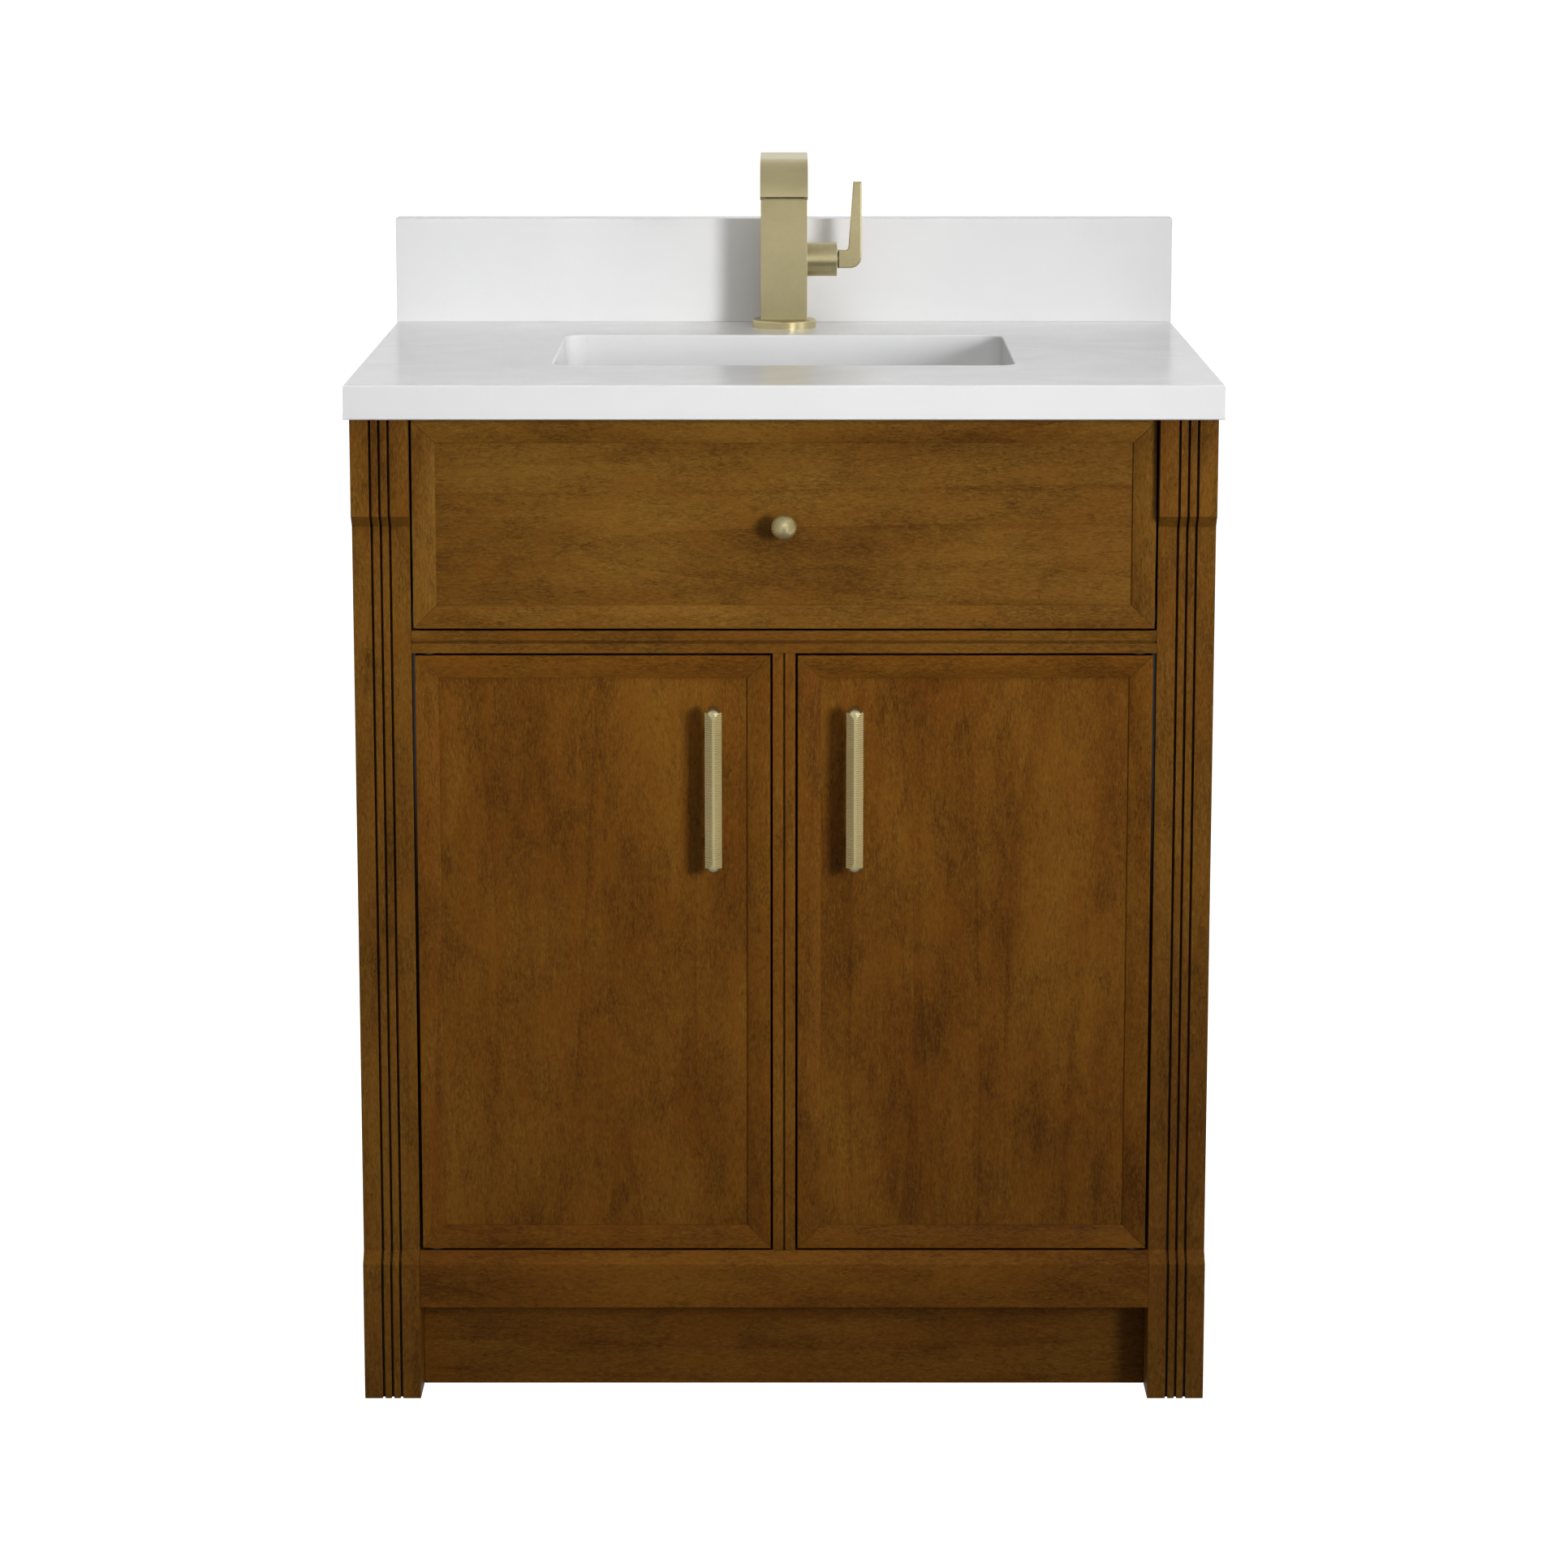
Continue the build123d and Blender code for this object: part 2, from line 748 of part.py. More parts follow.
with BuildPart() as box_bottom:
    with BuildSketch(Plane.XY.offset(box_low_z)):
        with Locations((0, box_front_y)):
            Rectangle(2 * box_half, box_depth, align=(Align.CENTER, Align.MIN))
        with Locations((0, cross_back_y)):
            Rectangle(2 * wing_x, box_depth, align=(Align.CENTER, Align.MIN), mode=Mode.SUBTRACT)
    extrude(amount=box_bottom_thickness)
save(box_bottom.part, "drawer_box_bottom")

knob_screw_seat = box_front_y + box_board
knob_screw_length = knob_screw_seat - panel_y + screw_bite - screw_head_height
save(screw(0, knob_z, knob_screw_seat, knob_screw_length), "knob_screw")


def slide_member(web_x, web_way, height, flange):
    """One rolled channel of a drawer slide: a web with a flange along each edge."""
    with BuildPart() as piece:
        origin = (web_x, slide_y, slide_centre_z)
        from_web = (Align.MAX, Align.CENTER)
        with BuildSketch(Plane(origin=origin, x_dir=(-web_way, 0, 0), z_dir=(0, 1, 0))):
            Rectangle(flange, height, align=from_web)
            with Locations((-slide_sheet, 0)):
                Rectangle(flange, height - 2 * slide_sheet, align=from_web, mode=Mode.SUBTRACT)
        extrude(amount=slide_length)
    return piece.part


slide_y = front_back_y + slide_front_gap
nesting = 2 * (slide_sheet + slide_gap)
middle_height = slide_height - nesting
inner_height = middle_height - nesting
outer_member = slide_member(post_inner_x, -1, slide_height, outer_flange)
middle_member = slide_member(post_inner_x - slide_sheet - slide_gap / 2, -1, middle_height, middle_flange)
inner_member = slide_member(box_half, 1, inner_height, inner_flange)
save(Compound(children=[outer_member, mirrored(outer_member)]), "slide_outer_members")
save(middle_member, "slide_middle_right")
save(mirrored(middle_member), "slide_middle_left")
save(Compound(children=[inner_member, mirrored(inner_member)]), "slide_inner_members")


# ================================================================ stone top
with BuildPart() as countertop:
    with BuildSketch(Plane.XY.offset(cabinet_height)):
        with Locations((0, counter_front_y)):
            Rectangle(counter_width, counter_depth, align=(Align.CENTER, Align.MIN))
        with Locations((0, sink_y)):
            RectangleRounded(sink_width, sink_length, sink_corner, mode=Mode.SUBTRACT)
        with Locations((0, faucet_y)):
            Circle(faucet_hole_radius, mode=Mode.SUBTRACT)
    extrude(amount=counter_thickness)
    top_face = countertop.faces().sort_by(Axis.Z)[-1]
    eased = top_face.edges().filter_by(lambda edge: edge.center().Y < faucet_y - faucet_hole_radius)
    fillet(eased, counter_easing)
    front_lower = countertop.edges().filter_by(Axis.X).group_by(Axis.Z)[0].sort_by(Axis.Y)[0]
    chamfer(front_lower, counter_lower_easing)
save(countertop.part, "countertop")

with BuildPart() as backsplash:
    add(
        board_between(
            (-counter_width / 2, counter_width / 2),
            (wall_y - backsplash_thickness, wall_y),
            (counter_top_z, counter_top_z + backsplash_height),
        )
    )
    top_front = backsplash.edges().filter_by(Axis.X).group_by(Axis.Z)[-1].sort_by(Axis.Y)[0]
    fillet(top_front, counter_easing)
save(backsplash.part, "backsplash")


# ================================================================ sink
def bowl_section(z, grow):
    """Rounded rectangle of the bowl at one level; grow is measured from the cut-out."""
    with BuildSketch(Plane(origin=(0, sink_y, z))) as section:
        RectangleRounded(sink_width + 2 * grow, sink_length + 2 * grow, sink_corner)
    return section.sketch


bowl_floor_z = cabinet_height - bowl_depth
with BuildPart() as bowl_hollow:
    loft([bowl_section(bowl_floor_z, bowl_reveal - bowl_draft), bowl_section(cabinet_height, bowl_reveal)])
    fillet(bowl_hollow.faces().sort_by(Axis.Z)[0].edges(), bowl_floor_radius)

drain_bore = tailpiece_radius - tailpiece_thread_step + thread_clearance
drain_outer = drain_bore + drain_wall
with BuildPart() as sink_bowl:
    low = bowl_section(bowl_floor_z - bowl_wall, bowl_reveal + bowl_wall - bowl_draft)
    high = bowl_section(cabinet_height - rim_thickness / 2, bowl_reveal + bowl_wall)
    loft([low, high])
    fillet(sink_bowl.faces().sort_by(Axis.Z)[0].edges(), bowl_floor_radius)
    extrude(bowl_section(cabinet_height - rim_thickness, rim_width), amount=rim_thickness)
    add(bowl_hollow.part, mode=Mode.SUBTRACT)
    with BuildSketch(Plane(origin=(0, sink_y, bowl_floor_z - bowl_wall))):
        Circle(drain_outer + drain_hole_clearance)
    extrude(amount=bowl_wall, mode=Mode.SUBTRACT)
save(sink_bowl.part, "sink_bowl")


def sink_clip(y):
    """One clamp on the right edge of the bowl's rim, screwed to the underside of the top."""
    rim_edge = sink_width / 2 + rim_width
    rim_bottom = cabinet_height - rim_thickness
    foot_x = bowl_half + clip_bowl_gap
    leg_x = rim_edge + clip_rim_gap
    with BuildPart() as piece:
        with BuildSketch(Plane.XZ.offset(-(y - clip_width / 2))):
            with BuildLine():
                Polyline(
                    (foot_x, rim_bottom),
                    (leg_x, rim_bottom),
                    (leg_x, cabinet_height),
                    (leg_x + clip_foot, cabinet_height),
                    (leg_x + clip_foot, cabinet_height - clip_thickness),
                    (leg_x + clip_thickness, cabinet_height - clip_thickness),
                    (leg_x + clip_thickness, rim_bottom - clip_thickness),
                    (foot_x, rim_bottom - clip_thickness),
                    close=True,
                )
            make_face()
        extrude(amount=-clip_width)
    return piece.part


clips_right = [sink_clip(sink_y + step * clip_spacing / 2) for step in (-1, 1)]
save(Compound(children=clips_right + [mirrored(piece) for piece in clips_right]), "sink_clips")


# ================================================================ drain
bowl_under_z = bowl_floor_z - bowl_wall
drain_low_z = bowl_floor_z - drain_body_length
spider_z = bowl_floor_z - spider_drop

with BuildPart() as drain_body:
    with BuildSketch(Plane(origin=(0, sink_y, drain_low_z))):
        Circle(drain_outer)
        Circle(drain_bore, mode=Mode.SUBTRACT)
    extrude(amount=drain_body_length)
    with BuildSketch(Plane(origin=(0, sink_y, bowl_floor_z))):
        Circle(drain_flange_radius)
        Circle(drain_bore, mode=Mode.SUBTRACT)
    extrude(amount=drain_flange_height)
    chamfer(drain_body.faces().sort_by(Axis.Z)[-1].outer_wire().edges(), drain_flange_bevel)
    with BuildSketch(Plane(origin=(0, sink_y, spider_z))):
        Circle(spider_hub_radius)
        Rectangle(2 * drain_bore + drain_wall, spider_width)
        Circle(stopper_stem_radius + running_clearance, mode=Mode.SUBTRACT)
    extrude(amount=-spider_height)
save(drain_body.part, "drain_body")

with BuildPart() as drain_gasket:
    with BuildSketch(Plane(origin=(0, sink_y, bowl_under_z))):
        Circle(gasket_radius)
        Circle(drain_outer + thread_clearance, mode=Mode.SUBTRACT)
    extrude(amount=-gasket_height)
save(drain_gasket.part, "drain_gasket")

with BuildPart() as drain_nut:
    with BuildSketch(Plane(origin=(0, sink_y, bowl_under_z - gasket_height))):
        RegularPolygon(drain_nut_flats / 2, 6, major_radius=False)
        Circle(drain_outer + thread_clearance, mode=Mode.SUBTRACT)
    extrude(amount=-drain_nut_height)
save(drain_nut.part, "drain_nut")

with BuildPart() as drain_tailpiece:
    with BuildSketch(Plane(origin=(0, sink_y, drain_low_z))):
        Circle(tailpiece_radius)
    extrude(amount=-tailpiece_length)
    with BuildSketch(Plane(origin=(0, sink_y, drain_low_z))):
        Circle(tailpiece_radius - tailpiece_thread_step)
    extrude(amount=tailpiece_engagement)
    with BuildSketch(Plane(origin=(0, sink_y, drain_low_z - tailpiece_length))):
        Circle(tailpiece_radius - tailpiece_wall)
    extrude(amount=tailpiece_length + tailpiece_engagement, mode=Mode.SUBTRACT)
save(drain_tailpiece.part, "drain_tailpiece")

with BuildPart() as drain_stopper:
    with BuildSketch(Plane(origin=(0, sink_y, bowl_floor_z))):
        Circle(drain_bore - stopper_clearance)
    extrude(amount=stopper_height)
    fillet(drain_stopper.faces().sort_by(Axis.Z)[-1].edges(), stopper_edge)
    with BuildSketch(Plane(origin=(0, sink_y, bowl_floor_z))):
        Circle(stopper_stem_radius)
    extrude(amount=-stopper_stem_length)
save(drain_stopper.part, "drain_stopper")


# ================================================================ faucet
with BuildPart() as faucet_flange:
    with BuildSketch(Plane(origin=(0, faucet_y, counter_top_z))):
        Circle(flange_radius)
        Circle(shank_radius + thread_clearance, mode=Mode.SUBTRACT)
    extrude(amount=flange_height)
    fillet(faucet_flange.faces().sort_by(Axis.Z)[-1].outer_wire().edges(), flange_edge)
save(faucet_flange.part, "faucet_flange")

column_base_z = counter_top_z + flange_height
spout_top_z = counter_top_z + spout_height
column_front = faucet_y - column_depth / 2
column_back = faucet_y + column_depth / 2
under_z = spout_top_z - spout_thickness
bend_y = faucet_y - spout_reach + spout_radius * math.sin(math.radians(spout_arc))
bend_centre = (bend_y, spout_top_z - spout_radius)


def on_bend(radius, degrees):
    """A point on the spout's bend, where 0 degrees is straight up and the turn is forwards."""
    angle = math.radians(degrees)
    return (bend_centre[0] - radius * math.sin(angle), bend_centre[1] + radius * math.cos(angle))


inner_bend = spout_radius - spout_thickness
end_along = Vector(0, -math.cos(math.radians(spout_arc)), -math.sin(math.radians(spout_arc)))
outer_lip = on_bend(spout_radius, spout_arc)
slot_middle = on_bend(spout_radius - outlet_from_lip - outlet_height / 2, spout_arc)
slot_plane = Plane(origin=(0, *slot_middle), x_dir=(1, 0, 0), z_dir=end_along)

with BuildPart() as faucet_body:
    with BuildSketch(Plane.YZ.offset(-column_width / 2)):
        with BuildLine():
            Line((column_back, column_base_z), (column_back, spout_top_z - shoulder_radius))
            shoulder = (column_back - shoulder_radius, spout_top_z - shoulder_radius)
            CenterArc(shoulder, shoulder_radius, 0, 90)
            Line((column_back - shoulder_radius, spout_top_z), (bend_y, spout_top_z))
            CenterArc(bend_centre, spout_radius, 90, spout_arc)
            Line(outer_lip, on_bend(inner_bend, spout_arc))
            CenterArc(bend_centre, inner_bend, 90, spout_arc)
            Line((bend_y, under_z), (column_front - armpit_radius, under_z))
            armpit = (column_front - armpit_radius, under_z - armpit_radius)
            CenterArc(armpit, armpit_radius, 0, 90)
            Line((column_front, under_z - armpit_radius), (column_front, column_base_z))
            Line((column_front, column_base_z), (column_back, column_base_z))
        make_face()
    extrude(amount=column_width)
    with BuildSketch(slot_plane):
        Rectangle(outlet_width, outlet_height)
    extrude(amount=-outlet_depth, mode=Mode.SUBTRACT)
save(faucet_body.part, "faucet_body")

with BuildPart() as faucet_outlet:
    with BuildSketch(slot_plane.offset(-outlet_recess)):
        Rectangle(outlet_width - 2 * outlet_clearance, outlet_height - 2 * outlet_clearance)
    extrude(amount=outlet_recess - outlet_depth)
save(faucet_outlet.part, "faucet_outlet")

valve_plane = Plane(origin=(column_width / 2, faucet_y, lever_axis_z), x_dir=(0, 1, 0), z_dir=(1, 0, 0))
with BuildPart() as valve_housing:
    with BuildSketch(valve_plane):
        Circle(valve_radius)
    extrude(amount=valve_length)
    with BuildSketch(valve_plane.offset(valve_end_wall)):
        Circle(valve_bore_radius)
    extrude(amount=valve_length, mode=Mode.SUBTRACT)
    chamfer(valve_housing.faces().sort_by(Axis.X)[-1].outer_wire().edges(), valve_mouth_bevel)
save(valve_housing.part, "faucet_valve_housing")

with BuildPart() as faucet_shank:
    with BuildSketch(Plane(origin=(0, faucet_y, column_base_z))):
        Circle(shank_radius)
        Circle(shank_bore, mode=Mode.SUBTRACT)
    extrude(amount=-shank_length)
save(faucet_shank.part, "faucet_shank")

with BuildPart() as faucet_nut:
    with BuildSketch(Plane(origin=(0, faucet_y, cabinet_height))):
        Circle(washer_radius)
    extrude(amount=-washer_height)
    with BuildSketch(Plane(origin=(0, faucet_y, cabinet_height - washer_height))):
        RegularPolygon(faucet_nut_flats / 2, 6, major_radius=False)
    extrude(amount=-faucet_nut_height)
    with BuildSketch(Plane(origin=(0, faucet_y, cabinet_height))):
        Circle(shank_radius + thread_clearance)
    extrude(amount=-washer_height - faucet_nut_height, mode=Mode.SUBTRACT)
save(faucet_nut.part, "faucet_nut")

shank_low_z = column_base_z - shank_length
with BuildPart() as faucet_inlet_block:
    with BuildSketch(Plane(origin=(0, faucet_y, shank_low_z))):
        Circle(shank_bore - thread_clearance)
        with GridLocations(inlet_spacing, 0, 2, 1):
            Circle(inlet_radius, mode=Mode.SUBTRACT)
    extrude(amount=inlet_length)
save(faucet_inlet_block.part, "faucet_inlet_block")

stem_radius = valve_bore_radius - stem_clearance
stem_start = valve_end_wall + stem_clearance
disc_length = tilt_x - column_width / 2 - stem_start - ball_radius - ball_gap
with BuildPart() as lever_stem:
    with BuildSketch(valve_plane.offset(stem_start)):
        Circle(stem_radius)
    extrude(amount=disc_length)
    with BuildSketch(valve_plane.offset(stem_start + disc_length)):
        with GridLocations(2 * ear_inner + ear_thickness, 0, 2, 1):
            Rectangle(ear_thickness, 2 * ear_half_height)
    extrude(amount=ball_gap + ball_radius + ear_half_height)
    with BuildSketch(Plane(origin=(tilt_x, faucet_y, lever_axis_z), z_dir=(0, 1, 0))):
        Circle(pin_radius)
    extrude(amount=ear_inner + ear_thickness, both=True, mode=Mode.SUBTRACT)
save(lever_stem.part, "lever_stem")

with BuildPart() as lever_pin:
    with BuildSketch(Plane(origin=(tilt_x, faucet_y, lever_axis_z), z_dir=(0, 1, 0))):
        Circle(pin_radius)
    extrude(amount=ear_inner + ear_thickness, both=True)
save(lever_pin.part, "lever_pin")

neck_low = lever_axis_z - lever_neck_drop
neck_high = neck_low + lever_neck_height
tip_z = counter_top_z + lever_top
shoulder_x = valve_mouth_x + lever_shoulder
with BuildPart() as faucet_lever:
    with BuildSketch(Plane.XZ.offset(-faucet_y)):
        with BuildLine():
            Polyline(
                (shoulder_x, neck_low),
                (lever_reach, neck_low),
                (lever_reach, tip_z),
                (lever_reach - lever_tip_thickness, tip_z),
                (lever_reach - lever_root_thickness, neck_high),
                (shoulder_x, neck_high),
                close=True,
            )
        outline = make_face()
        outer_corner = outline.vertices().sort_by(Axis.X)[-2:].sort_by(Axis.Y)[0]
        fillet(outer_corner, lever_outer_radius)
    extrude(amount=lever_width / 2, both=True)
    inner_edge = faucet_lever.edges().filter_by(Axis.Y).sort_by_distance(
        (lever_reach - lever_root_thickness, faucet_y, neck_high)
    )[0]
    fillet(inner_edge, lever_inner_radius)
    fillet(faucet_lever.faces().sort_by(Axis.Y)[0].edges(), lever_tip_edge)
    fillet(faucet_lever.faces().sort_by(Axis.Y)[-1].edges(), lever_tip_edge)
    with BuildSketch(Plane(origin=(tilt_x, faucet_y, lever_axis_z), x_dir=(0, 1, 0), z_dir=(1, 0, 0))):
        Circle(lever_neck_radius)
    extrude(amount=shoulder_x - tilt_x + lever_neck_bite)
    with Locations((tilt_x, faucet_y, lever_axis_z)):
        Sphere(ball_radius)
    with BuildSketch(Plane(origin=(tilt_x, faucet_y, lever_axis_z), z_dir=(0, 1, 0))):
        Circle(pin_radius + running_clearance)
    extrude(amount=ball_radius, both=True, mode=Mode.SUBTRACT)
save(faucet_lever.part, "faucet_lever")
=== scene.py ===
"""Looks of the bathroom vanity cabinet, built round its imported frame.  Metres, +Z up, front towards -Y."""
import json
import math

import bmesh
import bpy
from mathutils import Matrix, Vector


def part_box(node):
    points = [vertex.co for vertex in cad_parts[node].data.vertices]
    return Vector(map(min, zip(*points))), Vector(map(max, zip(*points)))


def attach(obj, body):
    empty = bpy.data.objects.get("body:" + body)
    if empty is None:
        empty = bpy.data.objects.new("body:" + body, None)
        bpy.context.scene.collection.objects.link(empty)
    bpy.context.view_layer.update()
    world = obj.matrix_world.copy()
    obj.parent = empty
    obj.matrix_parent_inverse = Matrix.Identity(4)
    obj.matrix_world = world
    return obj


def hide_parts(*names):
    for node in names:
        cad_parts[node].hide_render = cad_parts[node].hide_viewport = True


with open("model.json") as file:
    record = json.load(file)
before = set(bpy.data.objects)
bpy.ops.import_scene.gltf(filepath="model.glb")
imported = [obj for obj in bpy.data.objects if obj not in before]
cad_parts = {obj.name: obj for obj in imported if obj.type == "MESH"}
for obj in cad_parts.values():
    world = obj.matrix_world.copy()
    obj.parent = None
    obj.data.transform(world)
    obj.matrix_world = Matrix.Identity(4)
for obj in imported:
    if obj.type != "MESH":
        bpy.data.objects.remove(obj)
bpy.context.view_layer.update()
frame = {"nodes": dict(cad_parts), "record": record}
nodes = frame["nodes"]
body_of = {node: body for body, members in frame["record"]["behaviour"]["bodies"].items() for node in members}
slot_of = {part["node"]: part["material_slot"] for part in frame["record"]["subparts"]}

MM = 0.001


# ================================================================ material helpers
class Graph:
    """One material's node tree, with short calls for the nodes that the finishes share."""

    def __init__(self, name, **settings):
        self.material = bpy.data.materials.new(name)
        self.material.use_nodes = True
        self.tree = self.material.node_tree
        self.shader = self.tree.nodes["Principled BSDF"]
        for socket, value in settings.items():
            self.shader.inputs[socket.replace("_", " ")].default_value = value
        self.place = self.add("ShaderNodeTexCoord").outputs["Object"]

    def add(self, kind, inputs=None, **settings):
        """A node with its settings, and each input either linked or given a value."""
        node = self.tree.nodes.new(kind)
        for name, value in settings.items():
            setattr(node, name, value)
        for name, value in (inputs or {}).items():
            if isinstance(value, bpy.types.NodeSocket):
                self.tree.links.new(value, node.inputs[name])
            else:
                node.inputs[name].default_value = value
        return node

    def stretched(self, scale, shift=(0.0, 0.0, 0.0)):
        """Object coordinates scaled along each axis, in features per metre."""
        inputs = {"Vector": self.place, "Scale": scale, "Location": shift}
        return self.add("ShaderNodeMapping", inputs).outputs[0]

    def noise(self, vector, detail=2.0, roughness=0.5, distortion=0.0):
        inputs = {"Vector": vector, "Scale": 1.0, "Detail": detail, "Roughness": roughness}
        inputs["Distortion"] = distortion
        return self.add("ShaderNodeTexNoise", inputs).outputs[0]

    def ramp(self, value, low, high, start=0.0, end=1.0):
        """Value between low and high, mapped to start and end."""
        inputs = {"Value": value, "From Min": low, "From Max": high, "To Min": start, "To Max": end}
        return self.add("ShaderNodeMapRange", inputs).outputs[0]

    def math(self, operation, first, second=0.0):
        return self.add("ShaderNodeMath", {0: first, 1: second}, operation=operation).outputs[0]

    def mix(self, factor, first, second):
        """The first colour at a factor of 0, the second at 1."""
        inputs = {0: factor, 6: first, 7: second}
        return self.add("ShaderNodeMix", inputs, data_type="RGBA").outputs[2]

    def bump(self, height, depth, strength):
        """Surface relief of the given depth in metres."""
        inputs = {"Height": height, "Distance": depth, "Strength": strength}
        return self.add("ShaderNodeBump", inputs).outputs[0]

    def edges(self, radius):
        """1 on sharp outer edges and in corners, 0 on open faces."""
        rounded = self.add("ShaderNodeBevel", {"Radius": radius}, samples=4).outputs[0]
        flat = self.add("ShaderNodeNewGeometry").outputs["Normal"]
        facing = self.add("ShaderNodeVectorMath", {0: rounded, 1: flat}, operation="DOT_PRODUCT")
        return self.ramp(facing.outputs["Value"], 1.0, 0.85)

    def painted_gap_shade(self, distance):
        """Mask for painted shade: 0 deep in narrow gaps and grooves, 1 on open faces."""
        shade = self.add("ShaderNodeAmbientOcclusion", {"Distance": distance}, samples=8)
        return self.ramp(shade.outputs["AO"], 0.15, 0.55)

    def out(self, socket, value):
        """Link a value to one of the shader's sockets."""
        self.tree.links.new(value, self.shader.inputs[socket])


def colour(red, green, blue):
    return (red, green, blue, 1.0)


def scaled(shade, factor):
    """A colour made lighter or darker by a factor."""
    return colour(*[part * factor for part in shade])


# ================================================================ materials
GRAIN_STRETCH = {"X": (0.09, 1.0, 1.0), "Y": (1.0, 0.09, 1.0), "Z": (1.0, 1.0, 0.09)}
EVEN = Vector((1.0, 1.0, 1.0))
CURLY = 0.12                     # how far short fibres lose the grain's stretch
CLOUDY = 0.35                    # how far patches and curls lose it

# features per metre across the grain
FIBRES = 760.0
FLECKS = 430.0
CURLS = 250.0
STREAKS = 48.0
PATCHES = 42.0
BLOTCHES = 11.0
RINGS = 7.0

RING_LINES = 9.0                 # growth lines in one ring pattern
MIDDLE_TONE = 0.48
TONE_SPREAD = 0.27
BLOTCH_SHARE = 0.24
PATCH_SHARE = 0.16
STREAK_SHARE = 0.10
CURL_SHARE = 0.20
FIBRE_SHARE = 0.30
WORN_RADIUS = 0.9 * MM
# reach of the painted shade in gaps, grooves and corners
PAINTED_SHADE_REACH = 5.0 * MM
PORE_DEPTH = 0.08 * MM


def wood(name, along, seed, dark, middle, light, roughness, contrast=1.0):
    """Boards with short curly fibres, streaks, growth figure and blotches that run along one axis, with
    painted shade darkening their gaps and grooves.
    """
    g = Graph(name, Roughness=roughness, Specular_IOR_Level=0.09)
    shift = (seed * 1.37, seed * 0.73, seed * 2.11)
    stretch = Vector(GRAIN_STRETCH[along])
    short = stretch.lerp(EVEN, CURLY)
    softer = stretch.lerp(EVEN, CLOUDY)
    fibres = g.noise(g.stretched(short * FIBRES, shift), detail=2.0, roughness=0.6, distortion=1.3)
    curl = g.noise(g.stretched(softer * CURLS, shift), detail=3.0, roughness=0.65, distortion=1.6)
    flecks = g.noise(g.stretched(short * FLECKS, shift), detail=2.0, roughness=0.7, distortion=1.0)
    streaks = g.noise(g.stretched(stretch * STREAKS, shift), detail=3.0, roughness=0.6)
    patches = g.noise(g.stretched(softer * PATCHES, shift), detail=2.0, roughness=0.5, distortion=0.8)
    blotches = g.noise(g.stretched(softer * BLOTCHES, shift), detail=2.0, roughness=0.5, distortion=0.4)
    rings = g.noise(g.stretched(stretch * RINGS, shift), detail=1.0, roughness=0.3, distortion=0.3)
    figure = g.ramp(g.math("FRACT", g.math("MULTIPLY", rings, RING_LINES)), 0.78, 1.0)

    shares = ((PATCH_SHARE, patches), (STREAK_SHARE, streaks), (CURL_SHARE, curl), (FIBRE_SHARE, fibres))
    tone = g.math("MULTIPLY", g.ramp(blotches, 0.3, 0.7), BLOTCH_SHARE)
    for share, pattern in shares:
        tone = g.math("ADD", tone, g.math("MULTIPLY", g.ramp(pattern, 0.3, 0.7), share))
    tone = g.math("SUBTRACT", tone, g.math("MULTIPLY", figure, 0.08 * contrast))
    tone = g.ramp(tone, MIDDLE_TONE - TONE_SPREAD / contrast, MIDDLE_TONE + TONE_SPREAD / contrast)

    shades = g.add("ShaderNodeValToRGB", {"Fac": tone})
    ramp = shades.color_ramp
    ramp.elements[0].position = 0.05
    ramp.elements[0].color = colour(*dark)
    ramp.elements[1].position = 0.95
    ramp.elements[1].color = colour(*light)
    ramp.elements.new(0.5).color = colour(*middle)
    redder = colour(middle[0] * 1.05, middle[1] * 0.78, middle[2] * 0.6)
    warm = g.mix(g.ramp(patches, 0.35, 0.7, 0.0, 0.5), shades.outputs[0], redder)
    pores = g.ramp(flecks, 0.6, 0.74, 0.0, 0.42 * contrast)
    stained = g.mix(pores, warm, scaled(dark, 0.5))
    worn = g.math("MULTIPLY", g.edges(WORN_RADIUS), g.ramp(curl, 0.35, 0.65, 0.05, 0.2))
    handled = g.mix(worn, stained, colour(light[0] * 1.2, light[1] * 1.15, light[2] * 1.1))
    # painted shade: the colour goes near-black in gaps, grooves and corners, where the gap mask is low
    g.out("Base Color", g.mix(g.painted_gap_shade(PAINTED_SHADE_REACH), scaled(dark, 0.1), handled))
    g.out("Roughness", g.ramp(curl, 0.25, 0.75, roughness - 0.07, roughness + 0.09))
    relief = g.math("SUBTRACT", g.math("MULTIPLY", fibres, 0.6), g.math("MULTIPLY", pores, 0.8))
    g.out("Normal", g.bump(relief, PORE_DEPTH, 0.6))
    return g.material


def stained_wood(name, along, seed, redness):
    """Brown stain, golden at a redness of 0 and reddish at 1."""
    green = 1.0 - 0.14 * redness
    blue = 1.0 - 0.34 * redness
    return wood(
        name,
        along,
        seed,
        dark=(0.074, 0.029 * green, 0.0035 * blue),
        middle=(0.148, 0.067 * green, 0.0092 * blue),
        light=(0.240, 0.126 * green, 0.0190 * blue),
        roughness=0.45,
    )


def plain_wood(name, along, seed):
    return wood(
        name,
        along,
        seed,
        dark=(0.42, 0.28, 0.15),
        middle=(0.56, 0.40, 0.24),
        light=(0.68, 0.52, 0.34),
        roughness=0.5,
        contrast=0.8,
    )


